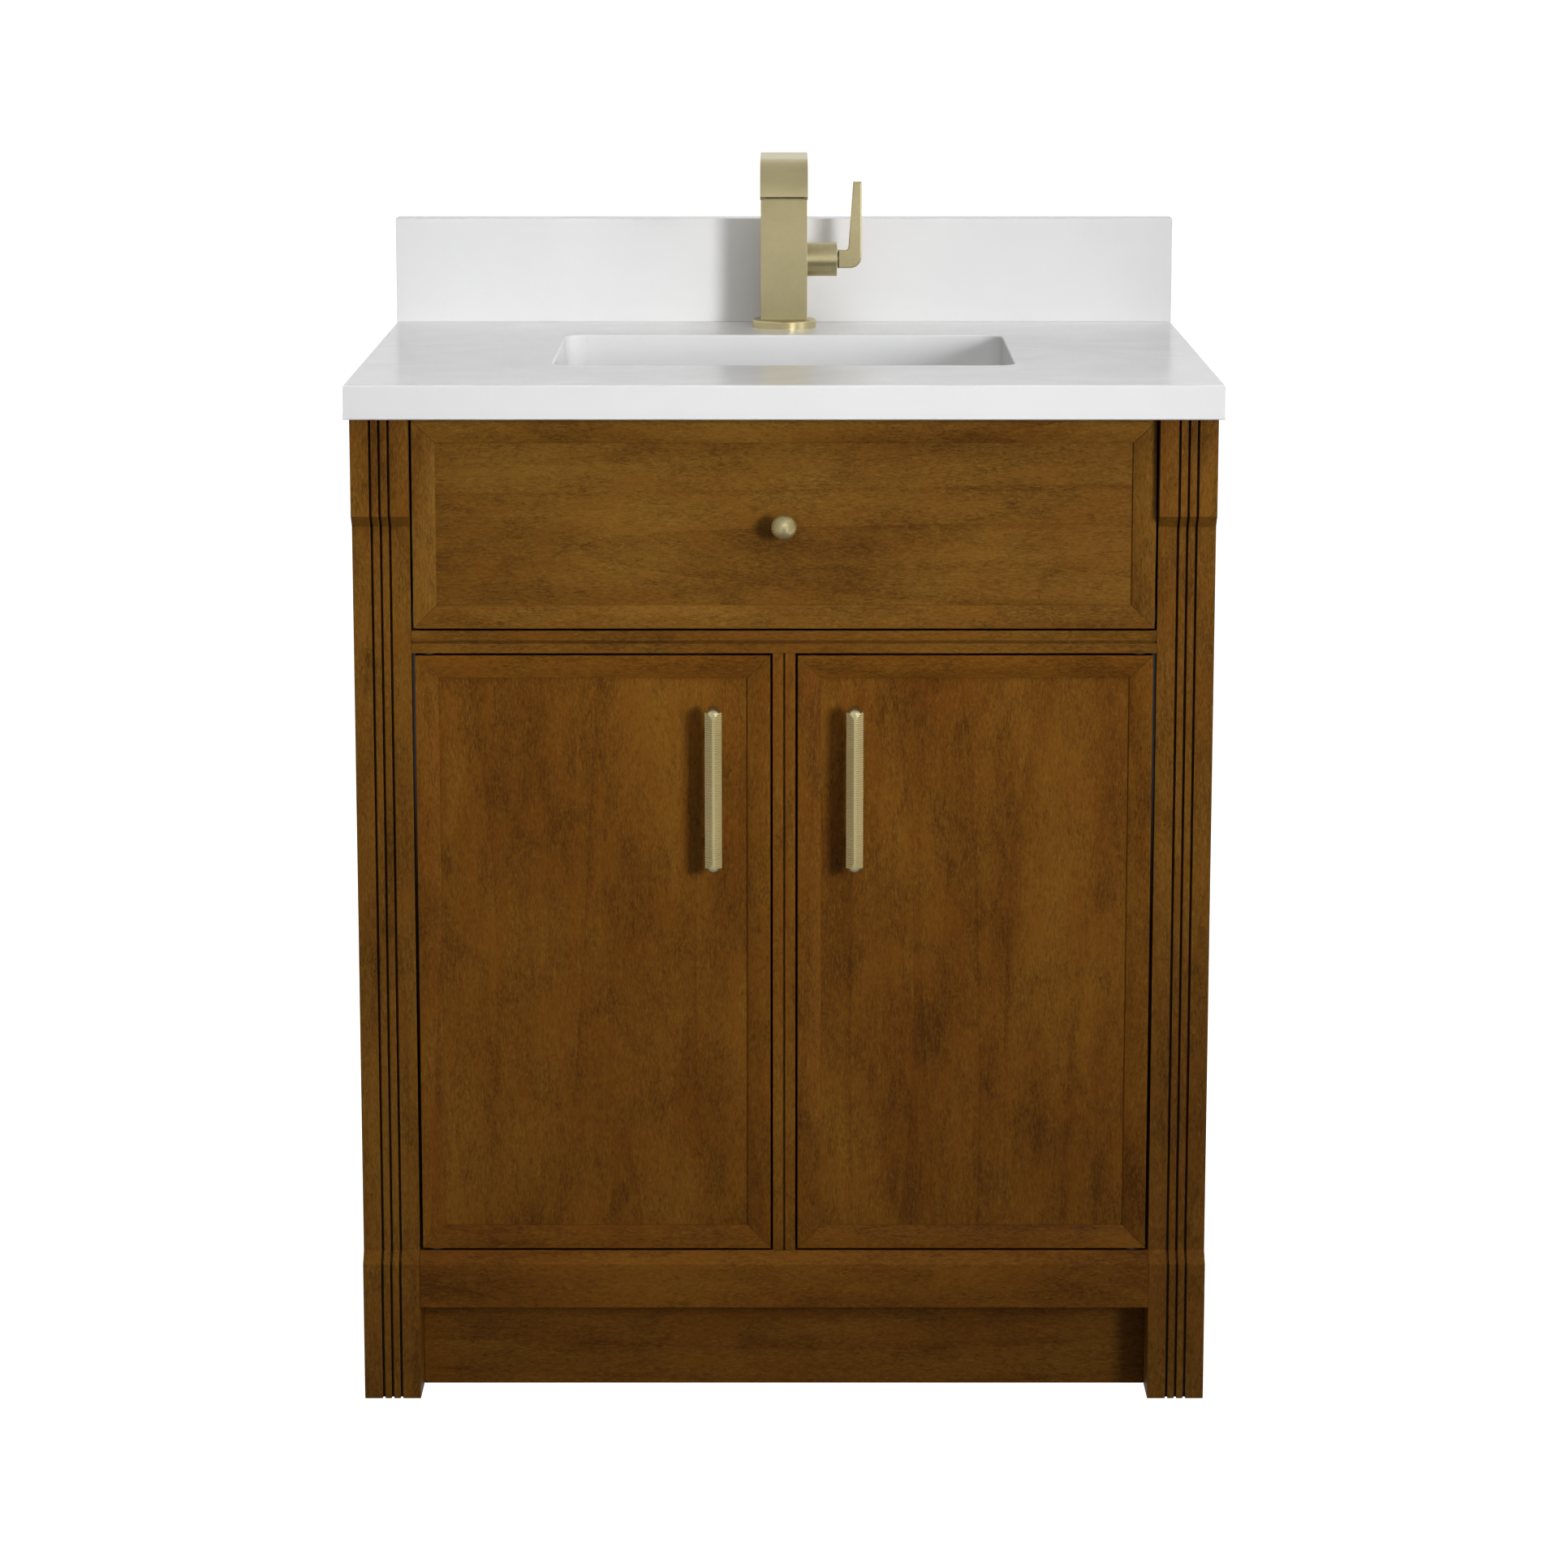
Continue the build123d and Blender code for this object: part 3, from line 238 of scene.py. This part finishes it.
def quartz():
    """Honed white stone with faint clouds, fine specks and slightly dulled edges."""
    g = Graph("white_quartz", Roughness=0.2, Specular_IOR_Level=0.5)
    clouds = g.noise(g.stretched(EVEN * 6.0), detail=4.0, roughness=0.6, distortion=0.5)
    specks = g.noise(g.stretched(EVEN * 900.0), detail=2.0, roughness=0.6)
    base = g.mix(g.ramp(clouds, 0.3, 0.7), colour(0.80, 0.80, 0.805), colour(0.835, 0.835, 0.835))
    specked = g.mix(g.ramp(specks, 0.62, 0.75, 0.0, 0.22), base, colour(0.70, 0.71, 0.72))
    edge = g.mix(g.math("MULTIPLY", g.edges(0.8 * MM), 0.3), specked, colour(0.74, 0.74, 0.75))
    g.out("Base Color", edge)
    g.out("Roughness", g.ramp(clouds, 0.3, 0.7, 0.16, 0.23))
    g.out("Normal", g.bump(specks, 0.004 * MM, 0.3))
    return g.material


def glaze():
    """White vitreous glaze: very smooth, with a slow orange-peel and faint tone changes."""
    g = Graph("white_glaze", Roughness=0.08, Specular_IOR_Level=0.55, Coat_Weight=0.5, Coat_Roughness=0.04)
    clouds = g.noise(g.stretched(EVEN * 14.0), detail=3.0)
    peel = g.noise(g.stretched(EVEN * 160.0), detail=1.0)
    g.out("Base Color", g.mix(g.ramp(clouds, 0.3, 0.7), colour(0.80, 0.80, 0.80), colour(0.84, 0.84, 0.835)))
    g.out("Roughness", g.ramp(clouds, 0.3, 0.7, 0.06, 0.11))
    g.out("Normal", g.bump(peel, 0.02 * MM, 0.35))
    return g.material


def brushed_metal(name, along, low, high, roughness, seed=0.0):
    """Brushed or satin metal with hairlines along one axis, faint clouds, and a painted highlight that makes
    edges and corners lighter.
    """
    g = Graph(name, Metallic=1.0, Roughness=roughness, Specular_IOR_Level=0.5)
    stretch = Vector(GRAIN_STRETCH[along])
    shift = EVEN * seed
    hairlines = g.noise(g.stretched(stretch * 3200.0, shift), detail=3.0, roughness=0.7)
    bands = g.noise(g.stretched(stretch * 240.0, shift), detail=2.0)
    clouds = g.noise(g.stretched(EVEN * 28.0, shift), detail=3.0, roughness=0.6)
    mixed = g.math("ADD", g.math("MULTIPLY", hairlines, 0.5), g.math("MULTIPLY", clouds, 0.5))
    base = g.mix(g.ramp(mixed, 0.35, 0.65), colour(*low), colour(*high))
    # painted highlight: the colour turns lighter on sharp edges and in corners
    g.out("Base Color", g.mix(g.math("MULTIPLY", g.edges(0.5 * MM), 0.7), base, scaled(high, 1.35)))
    spread = g.math("ADD", g.math("MULTIPLY", hairlines, 0.6), g.math("MULTIPLY", bands, 0.4))
    g.out("Roughness", g.ramp(spread, 0.3, 0.7, roughness - 0.06, roughness + 0.08))
    g.out("Normal", g.bump(hairlines, 0.012 * MM, 0.35))
    return g.material


def moulded(name, base, roughness):
    """Dark moulded plastic or rubber with a fine spark texture."""
    g = Graph(name, Roughness=roughness, Specular_IOR_Level=0.4)
    grain = g.noise(g.stretched(EVEN * 1400.0), detail=2.0, roughness=0.6)
    clouds = g.noise(g.stretched(EVEN * 60.0), detail=2.0)
    shade = g.mix(g.ramp(clouds, 0.3, 0.7), colour(*base), scaled(base, 1.6))
    scuffed = g.math("MULTIPLY", g.edges(0.4 * MM), 0.4)
    g.out("Base Color", g.mix(scuffed, shade, scaled(base, 3.0)))
    g.out("Roughness", g.ramp(grain, 0.3, 0.7, roughness - 0.05, roughness + 0.1))
    g.out("Normal", g.bump(grain, 0.02 * MM, 0.5))
    return g.material


# ================================================================ mesh helpers
SHARP_ANGLE = math.radians(30.0)
FLAT_ANGLE = math.radians(0.5)
SAME_POINT = 0.002 * MM
EDGE_SEGMENTS = 2


def finish_mesh(shape, name, material, body, replaced):
    """Turn a bmesh into a visible piece with flat-looking faces, which stands for its CAD nodes."""
    for face in shape.faces:
        face.smooth = True
    for edge in shape.edges:
        edge.smooth = len(edge.link_faces) == 2 and edge.calc_face_angle(0.0) < SHARP_ANGLE
    mesh = bpy.data.meshes.new(name)
    shape.to_mesh(mesh)
    shape.free()
    piece = bpy.data.objects.new(name, mesh)
    bpy.context.scene.collection.objects.link(piece)
    mesh.materials.append(material)
    weighted = piece.modifiers.new("weighted_normals", "WEIGHTED_NORMAL")
    weighted.keep_sharp = True
    weighted.weight = 100
    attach(piece, body)
    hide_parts(*replaced)


def refined(node, material, radius):
    """A copy of a CAD piece with its facets joined and its sharp edges rounded, in the same place."""
    shape = bmesh.new()
    shape.from_mesh(nodes[node].data)
    bmesh.ops.remove_doubles(shape, verts=shape.verts, dist=SAME_POINT)
    bmesh.ops.dissolve_limit(
        shape,
        angle_limit=FLAT_ANGLE,
        verts=shape.verts,
        edges=shape.edges,
        delimit={"NORMAL"},
    )
    sharp = [edge for edge in shape.edges if edge.calc_face_angle(0.0) > SHARP_ANGLE]
    bmesh.ops.bevel(
        shape,
        geom=sharp,
        offset=radius,
        segments=EDGE_SEGMENTS,
        affect="EDGES",
        profile=0.5,
        clamp_overlap=True,
    )
    finish_mesh(shape, node + "_body", material, body_of[node], [node])


def paint(node, material):
    """Give a CAD piece a better material in its own slots."""
    for slot in nodes[node].material_slots:
        slot.material = material


# ================================================================ wooden pieces
WOOD_EDGE = 0.6 * MM

GRAIN_OF = {
    "front_post_left": "Z",
    "front_post_right": "Z",
    "side_panel_left": "Z",
    "side_panel_right": "Z",
    "centre_mullion": "Z",
    "bottom_rail": "X",
    "mid_rail": "X",
    "toe_kick_board": "X",
    "drawer_front_stiles": "Z",
    "drawer_front_rails": "X",
    "drawer_front_panel": "X",
    "door_left_stiles": "Z",
    "door_left_rails": "X",
    "door_left_panel": "Z",
    "door_right_stiles": "Z",
    "door_right_rails": "X",
    "door_right_panel": "Z",
    "top_front_stretcher": "X",
    "back_rails": "X",
    "back_panel": "Z",
    "corner_blocks": "Y",
    "cabinet_floor": "X",
    "slide_cleats": "Y",
    "drawer_box_boards": "Y",
    "drawer_box_bottom": "X",
}

REDNESS_OF = {
    "drawer_front_panel": 0.0,
    "drawer_front_rails": 0.1,
    "drawer_front_stiles": 0.0,
    "front_post_left": 0.35,
    "front_post_right": 0.35,
    "mid_rail": 0.3,
}

for number, (node, along) in enumerate(GRAIN_OF.items()):
    if slot_of[node] == "stained_wood":
        finish = stained_wood(node + "_wood", along, 1.0 + number, REDNESS_OF.get(node, 1.0))
    else:
        finish = plain_wood(node + "_wood", along, 1.0 + number)
    refined(node, finish, WOOD_EDGE)


# ================================================================ stone and ceramic
HARD_EDGE = 0.5 * MM             # stone and metal

stone = quartz()
paint("countertop", stone)
refined("backsplash", stone, HARD_EDGE)
paint("sink_bowl", glaze())


# ================================================================ metal
GOLD_LOW = (0.50, 0.43, 0.235)
GOLD_HIGH = (0.60, 0.525, 0.30)
gold = brushed_metal("brushed_gold_upright", "Z", GOLD_LOW, GOLD_HIGH, 0.33)
gold_across = brushed_metal("brushed_gold_across", "X", GOLD_LOW, GOLD_HIGH, 0.30, seed=3.0)
zinc = brushed_metal("zinc_steel", "Y", (0.50, 0.51, 0.53), (0.66, 0.67, 0.69), 0.35, seed=7.0)
oxide = brushed_metal("black_oxide_steel", "Y", (0.035, 0.033, 0.032), (0.06, 0.056, 0.052), 0.45, seed=9.0)
black_plastic = moulded("black_plastic", (0.012, 0.012, 0.013), 0.45)
black_rubber = moulded("black_rubber", (0.008, 0.008, 0.008), 0.7)

refined("faucet_body", gold, HARD_EDGE)
refined("faucet_lever", gold_across, HARD_EDGE)
for node in ("faucet_flange", "faucet_valve_housing", "lever_stem"):
    paint(node, gold_across)
for node in ("faucet_shank", "drain_body", "drain_stopper", "drain_nut", "drain_tailpiece"):
    paint(node, gold)
for node in sorted(nodes):
    if "pivot" in node:
        paint(node, oxide)
    elif slot_of[node] == "zinc_steel":
        paint(node, zinc)
    elif slot_of[node] == "dark_plastic":
        paint(node, black_plastic)
    elif slot_of[node] == "rubber":
        paint(node, black_rubber)


# ================================================================ pulls
PULL_DEPTH = 11.0 * MM           # flat back to ridge
PULL_RIDGE = 1.6 * MM            # smooth strip along the middle
PULL_DOME_RADIUS = 5.9 * MM      # the rounded end, narrower than the bar
PULL_SHOULDER = 4.9 * MM         # from the tip to where the ribbed faces begin
PULL_SHOULDER_STEP = 0.5 * MM
PULL_SPINE_FLARE = 7.2 * MM      # length over which the end narrows into the ridge
PULL_RIB_PITCH = 2.0 * MM
PULL_RIB_DEPTH = 0.75 * MM
PULL_STEP = 0.45 * MM            # the ribbed faces lie this much below the ridge
PULL_POST_RADIUS = 5.0 * MM
PULL_POST_SPACING = 96.0 * MM
PULL_DOME_STEPS = 12
ROUND_TURNS = 32                 # points round a post
PULL_INSET = 1.0 * MM            # each post starts this far inside the bar
PULL_FOOT = 1.0 * MM             # straight end of its wider foot, on the door
PULL_FOOT_FLARE = 1.25           # the foot's radius to the post's

# place along one rib, and the depth of the valley there
RIB_PROFILE = ((0.0, 1.0), (0.12, 0.55), (0.3, 0.08), (0.5, 0.0), (0.7, 0.08), (0.88, 0.55))
# place across a ribbed face, and how much of its full drop below the ridge it has there
FACE_PROFILE = ((0.03, 1.3), (0.2, 1.0), (0.5, 1.0), (0.8, 1.0), (1.0, 0.8))


def eased(value):
    """Value held between 0 and 1, with a soft start and end."""
    held = min(max(value, 0.0), 1.0)
    return held * held * (3.0 - 2.0 * held)


def pull_stations(length):
    """Heights along the pull, each with how deep its rib valley is: domed ends, and reeds between them."""
    quarter = [math.pi / 2.0 * step / PULL_DOME_STEPS for step in range(PULL_DOME_STEPS)]
    dome = [PULL_SHOULDER * (1.0 - math.cos(angle)) for angle in quarter]
    start = PULL_SHOULDER + PULL_SHOULDER_STEP
    ribs = round((length - 2.0 * start) / PULL_RIB_PITCH)
    pitch = (length - 2.0 * start) / ribs
    shoulder = [PULL_SHOULDER, PULL_SHOULDER + PULL_SHOULDER_STEP / 2.0]
    heights = [(height, 0.0) for height in dome + shoulder]
    for rib in range(ribs):
        for share, valley in RIB_PROFILE:
            heights.append((start + pitch * (rib + share), valley))
    heights.append((length - start, 1.0))
    heights += [(length - height, 0.0) for height in reversed(dome + shoulder)]
    return heights


def pull_section(height, valley, length, half):
    """Points across the pull at one height, from its left back edge to its right back edge.

    Each point is (across, forward), with forward measured from the flat back."""
    tip = min(height, length - height)
    dome = min(tip / PULL_DOME_RADIUS, 1.0)
    shrink = math.sqrt(max(1.0 - (1.0 - dome) ** 2, 0.0))
    shoulder = eased((tip - PULL_SHOULDER) / PULL_SHOULDER_STEP)
    run = min(max((tip - PULL_SHOULDER) / PULL_SPINE_FLARE, 0.0), 1.0)
    width = PULL_DOME_RADIUS * shrink
    width += (half - width) * shoulder
    edge = PULL_RIDGE / 2.0
    spine = min(edge + (PULL_DOME_RADIUS - edge) * (1.0 - run) ** 2, width)
    side = PULL_DEPTH - (half - edge)

    def sloped(across):
        return PULL_DEPTH - max(across - edge, 0.0)

    def domed(across):
        ratio = min(across / PULL_DOME_RADIUS / max(shrink, 0.01), 1.0)
        return shrink * (side + (PULL_DEPTH - side) * math.sqrt(1.0 - ratio * ratio))

    def smooth_part(share):
        across = spine * share
        return across, domed(across) + (PULL_DEPTH - domed(across)) * eased(run)

    def ribbed(share, sunk):
        across = spine + (width - spine) * share
        drop = (PULL_STEP + PULL_RIB_DEPTH * valley) * sunk * shoulder
        flat = sloped(across)
        return across - drop * 0.5, domed(across) + (flat - domed(across)) * shoulder - drop * 0.7

    right = [smooth_part(share) for share in (0.35, 0.7, 1.0)]
    right += [ribbed(share, sunk) for share, sunk in FACE_PROFILE]
    right.append((right[-1][0], 0.0))
    left = [(-across, out) for across, out in reversed(right)]
    return left + [(0.0, smooth_part(0.0)[1])] + right


def add_round(shape, stations, centre, axis):
    """A closed round solid along an axis, from (distance, radius) stations."""
    forward = Vector(axis)
    aside = forward.orthogonal().normalized()
    up = forward.cross(aside)
    rings = []
    for distance, radius in stations:
        ring = []
        for turn in range(ROUND_TURNS):
            angle = 2.0 * math.pi * turn / ROUND_TURNS
            reach = aside * math.cos(angle) + up * math.sin(angle)
            ring.append(shape.verts.new(centre + forward * distance + reach * radius))
        rings.append(ring)
    for low, high in zip(rings, rings[1:]):
        for turn in range(ROUND_TURNS):
            after = (turn + 1) % ROUND_TURNS
            shape.faces.new((low[turn], low[after], high[after], high[turn]))
    shape.faces.new(list(reversed(rings[0])))
    shape.faces.new(rings[-1])


def pull(side):
    """Ridged, finely reeded pull with domed ends and two round posts."""
    node = "door_" + side + "_pull"
    low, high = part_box(node)
    panel_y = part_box("door_" + side + "_panel")[0].y
    length = high.z - low.z
    half = (high.x - low.x) / 2.0
    centre_x = (high.x + low.x) / 2.0
    back_y = low.y + PULL_DEPTH
    shape = bmesh.new()
    rows = []
    for height, valley in pull_stations(length):
        if min(height, length - height) <= 0.0:
            continue
        section = pull_section(height, valley, length, half)
        rows.append([shape.verts.new((centre_x + x, back_y - out, low.z + height)) for x, out in section])
    for below, above in zip(rows, rows[1:]):
        for i in range(len(below)):
            after = (i + 1) % len(below)
            shape.faces.new((below[i], below[after], above[after], above[i]))
    for row, z in ((rows[0], low.z), (rows[-1], high.z)):
        tip = shape.verts.new((centre_x, back_y, z))
        for i in range(len(row)):
            shape.faces.new((row[i], row[(i + 1) % len(row)], tip))
    middle_z = (low.z + high.z) / 2.0
    reach = panel_y - back_y
    foot = PULL_POST_RADIUS * PULL_FOOT_FLARE
    for way in (-1.0, 1.0):
        centre = Vector((centre_x, back_y - PULL_INSET, middle_z + way * PULL_POST_SPACING / 2.0))
        stations = [
            (0.0, PULL_POST_RADIUS),
            (reach * 0.8, PULL_POST_RADIUS),
            (reach * 0.92, PULL_POST_RADIUS * 1.06),
            (reach, foot),
            (reach + PULL_FOOT, foot),
        ]
        add_round(shape, stations, centre, (0.0, 1.0, 0.0))
    bmesh.ops.recalc_face_normals(shape, faces=shape.faces)
    finish_mesh(shape, node + "_ribbed", gold, body_of[node], [node])


for side in ("left", "right"):
    pull(side)


# ================================================================ knob
KNOB_FLUTES = 36
KNOB_FLUTE_DEPTH = 0.6 * MM
KNOB_CAP = 4.6 * MM              # height of the shallow dome
KNOB_RIM = 1.4 * MM              # radius of its rolled edge
KNOB_RIM_STEPS = 6
KNOB_CAP_STEPS = 18
KNOB_POINTS_PER_FLUTE = 6
KNOB_SMOOTH_CENTRE = 2.2 * MM
KNOB_FADE = 5.0 * MM             # over which the flutes grow to full depth
# radius and distance from the drawer front, in millimetres
KNOB_FOOT = ((6.5, 0.0), (6.5, 2.2), (6.0, 3.0), (4.9, 3.8))
KNOB_STEM = ((4.5, 5.5), (4.5, 14.8), (5.6, 16.0), (7.8, 18.0))


def knob():
    """Knob with a shallow dome and radial flutes that fade out towards its smooth centre."""
    low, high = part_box("drawer_knob")
    centre_x = (low.x + high.x) / 2.0
    centre_z = (low.z + high.z) / 2.0
    radius = (high.x - low.x) / 2.0
    foot_y = high.y
    rim_y = low.y + KNOB_CAP + KNOB_RIM
    profile = [(reach * MM, foot_y - out * MM, 0.0) for reach, out in KNOB_FOOT + KNOB_STEM]
    for step in range(KNOB_RIM_STEPS):
        angle = math.pi / 2.0 * step / KNOB_RIM_STEPS
        reach = radius - KNOB_RIM * (1.0 - math.sin(angle))
        profile.append((reach, rim_y + KNOB_RIM * math.cos(angle), math.sin(angle)))
    sphere = (radius * radius + KNOB_CAP * KNOB_CAP) / (2.0 * KNOB_CAP)
    for step in range(KNOB_CAP_STEPS):
        angle = math.pi / 2.0 * step / KNOB_CAP_STEPS
        reach = radius * math.cos(angle)
        rise = math.sqrt(sphere * sphere - reach * reach) - (sphere - KNOB_CAP)
        fade = min(max((reach - KNOB_SMOOTH_CENTRE) / KNOB_FADE, 0.0), 1.0)
        profile.append((reach, rim_y - rise - KNOB_RIM * math.sin(angle), fade))
    turns = KNOB_FLUTES * KNOB_POINTS_PER_FLUTE
    shape = bmesh.new()
    rings = []
    for reach, y, fluting in profile:
        ring = []
        for turn in range(turns):
            angle = 2.0 * math.pi * turn / turns
            valley = 1.0 - abs(math.cos(angle * KNOB_FLUTES / 2.0))
            sunk = KNOB_FLUTE_DEPTH * fluting * valley
            inner = reach - sunk * 0.6
            point = (centre_x + inner * math.cos(angle), y + sunk * 0.8, centre_z + inner * math.sin(angle))
            ring.append(shape.verts.new(point))
        rings.append(ring)
    for below, above in zip(rings, rings[1:]):
        for turn in range(turns):
            after = (turn + 1) % turns
            shape.faces.new((below[turn], below[after], above[after], above[turn]))
    tip = shape.verts.new((centre_x, low.y, centre_z))
    for turn in range(turns):
        shape.faces.new((rings[-1][turn], rings[-1][(turn + 1) % turns], tip))
    shape.faces.new(rings[0])
    bmesh.ops.recalc_face_normals(shape, faces=shape.faces)
    finish_mesh(shape, "drawer_knob_fluted", gold, "drawer", ["drawer_knob"])


knob()


# ================================================================ stage, light and camera
FLOOR_SPAN = 60.0


def floor():
    """Plain pale floor, far larger than the view."""
    shape = bmesh.new()
    half = FLOOR_SPAN / 2.0
    corners = [shape.verts.new((x * half, y * half, 0.0)) for x, y in ((-1, -1), (1, -1), (1, 1), (-1, 1))]
    shape.faces.new(corners)
    mesh = bpy.data.meshes.new("floor")
    shape.to_mesh(mesh)
    shape.free()
    plane = bpy.data.objects.new("floor", mesh)
    bpy.context.scene.collection.objects.link(plane)
    g = Graph("pale_floor", Roughness=0.9, Specular_IOR_Level=0.1, Emission_Strength=1.05)
    g.shader.inputs["Base Color"].default_value = colour(0.9, 0.9, 0.9)
    g.shader.inputs["Emission Color"].default_value = colour(1.0, 1.0, 1.0)
    mesh.materials.append(g.material)
    plane.visible_diffuse = False
    plane.visible_glossy = False


def backdrop(seen, mirrored_level, mirrored_below, mirrored_top, ambient):
    """White surroundings: even behind the object, brightest at eye level in reflections, and dim as fill."""
    world = bpy.data.worlds.new("studio")
    world.use_nodes = True
    world.cycles.sampling_method = "NONE"
    bpy.context.scene.world = world
    tree = world.node_tree
    background = tree.nodes["Background"]
    background.inputs["Color"].default_value = colour(1.0, 1.0, 1.0)
    path = tree.nodes.new("ShaderNodeLightPath")
    direction = tree.nodes.new("ShaderNodeTexCoord")
    height = tree.nodes.new("ShaderNodeSeparateXYZ")
    tree.links.new(direction.outputs["Generated"], height.inputs[0])

    def blend(value, start, end, span=(0.0, 1.0)):
        """From start to end as the value crosses the span; start and end may be links or numbers."""
        step = tree.nodes.new("ShaderNodeMapRange")
        tree.links.new(value, step.inputs["Value"])
        wanted = {"From Min": span[0], "From Max": span[1], "To Min": start, "To Max": end}
        for socket, source in wanted.items():
            if isinstance(source, bpy.types.NodeSocket):
                tree.links.new(source, step.inputs[socket])
            else:
                step.inputs[socket].default_value = source
        return step.outputs[0]

    lower = blend(height.outputs["Z"], mirrored_below, mirrored_level, span=(-0.45, 0.1))
    mirrored = blend(height.outputs["Z"], lower, mirrored_top, span=(0.3, 0.9))
    lighting = blend(path.outputs["Is Glossy Ray"], ambient, mirrored)
    tree.links.new(blend(path.outputs["Is Camera Ray"], lighting, seen), background.inputs["Strength"])


def softbox(name, place, target, size, power, shows_in, spread=180.0):
    """Rectangular area light that faces a target and shows either in diffuse light or in reflections.

    Place, target and size are in metres, power in watts and spread in degrees."""
    data = bpy.data.lights.new(name, "AREA")
    data.shape = "RECTANGLE"
    data.size, data.size_y = size
    data.energy = power
    data.spread = math.radians(spread)
    lamp = bpy.data.objects.new(name, data)
    lamp.location = place
    lamp.rotation_mode = "QUATERNION"
    lamp.rotation_quaternion = (Vector(target) - Vector(place)).to_track_quat("-Z", "Y")
    lamp.visible_diffuse = shows_in == "diffuse"
    lamp.visible_glossy = shows_in == "reflections"
    bpy.context.scene.collection.objects.link(lamp)


KEY_PLACE = (1.85, -2.95, 1.3)
KEY_SIZE = (0.75, 0.9)

floor()
backdrop(seen=1.05, mirrored_level=1.0, mirrored_below=0.4, mirrored_top=0.6, ambient=0.13)
softbox("key", KEY_PLACE, (-0.15, -0.28, 1.0), KEY_SIZE, 7.6, "diffuse", spread=50.0)
softbox("key_sheen", KEY_PLACE, (0.0, -0.28, 0.65), KEY_SIZE, 12.0, "reflections")
softbox("side_sheen", (2.6, -0.9, 0.9), (0.0, -0.1, 0.8), (1.2, 1.4), 8.0, "reflections")
softbox("overhead", (0.2, -1.25, 3.0), (0.0, -0.1, 0.9), (1.6, 1.2), 24.0, "diffuse")
# low and behind, so these two light the sides and the back, and the stone top only a little
softbox("left_fill", (-2.2, 1.7, 0.6), (0.0, 0.1, 0.5), (1.0, 0.9), 13.0, "diffuse")
softbox("right_fill", (2.2, 1.7, 0.6), (0.0, 0.1, 0.5), (1.0, 0.9), 8.0, "diffuse")

CAMERA_DISTANCE = 3.916         # in front of the stone top's front edge
CAMERA_HEIGHT = 1.352
CAMERA_PITCH = 9.963            # degrees below level
CAMERA_LENS = 104.69
CAMERA_SHIFT = -0.07

camera_data = bpy.data.cameras.new("camera")
camera_data.lens = CAMERA_LENS
camera_data.sensor_width = 36.0
camera_data.shift_y = CAMERA_SHIFT
camera = bpy.data.objects.new("camera", camera_data)
camera.location = (0.0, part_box("countertop")[0].y - CAMERA_DISTANCE, CAMERA_HEIGHT)
camera.rotation_euler = (math.radians(90.0 - CAMERA_PITCH), 0.0, 0.0)
bpy.context.scene.collection.objects.link(camera)
bpy.context.scene.camera = camera
bpy.context.scene.view_settings.view_transform = "Standard"
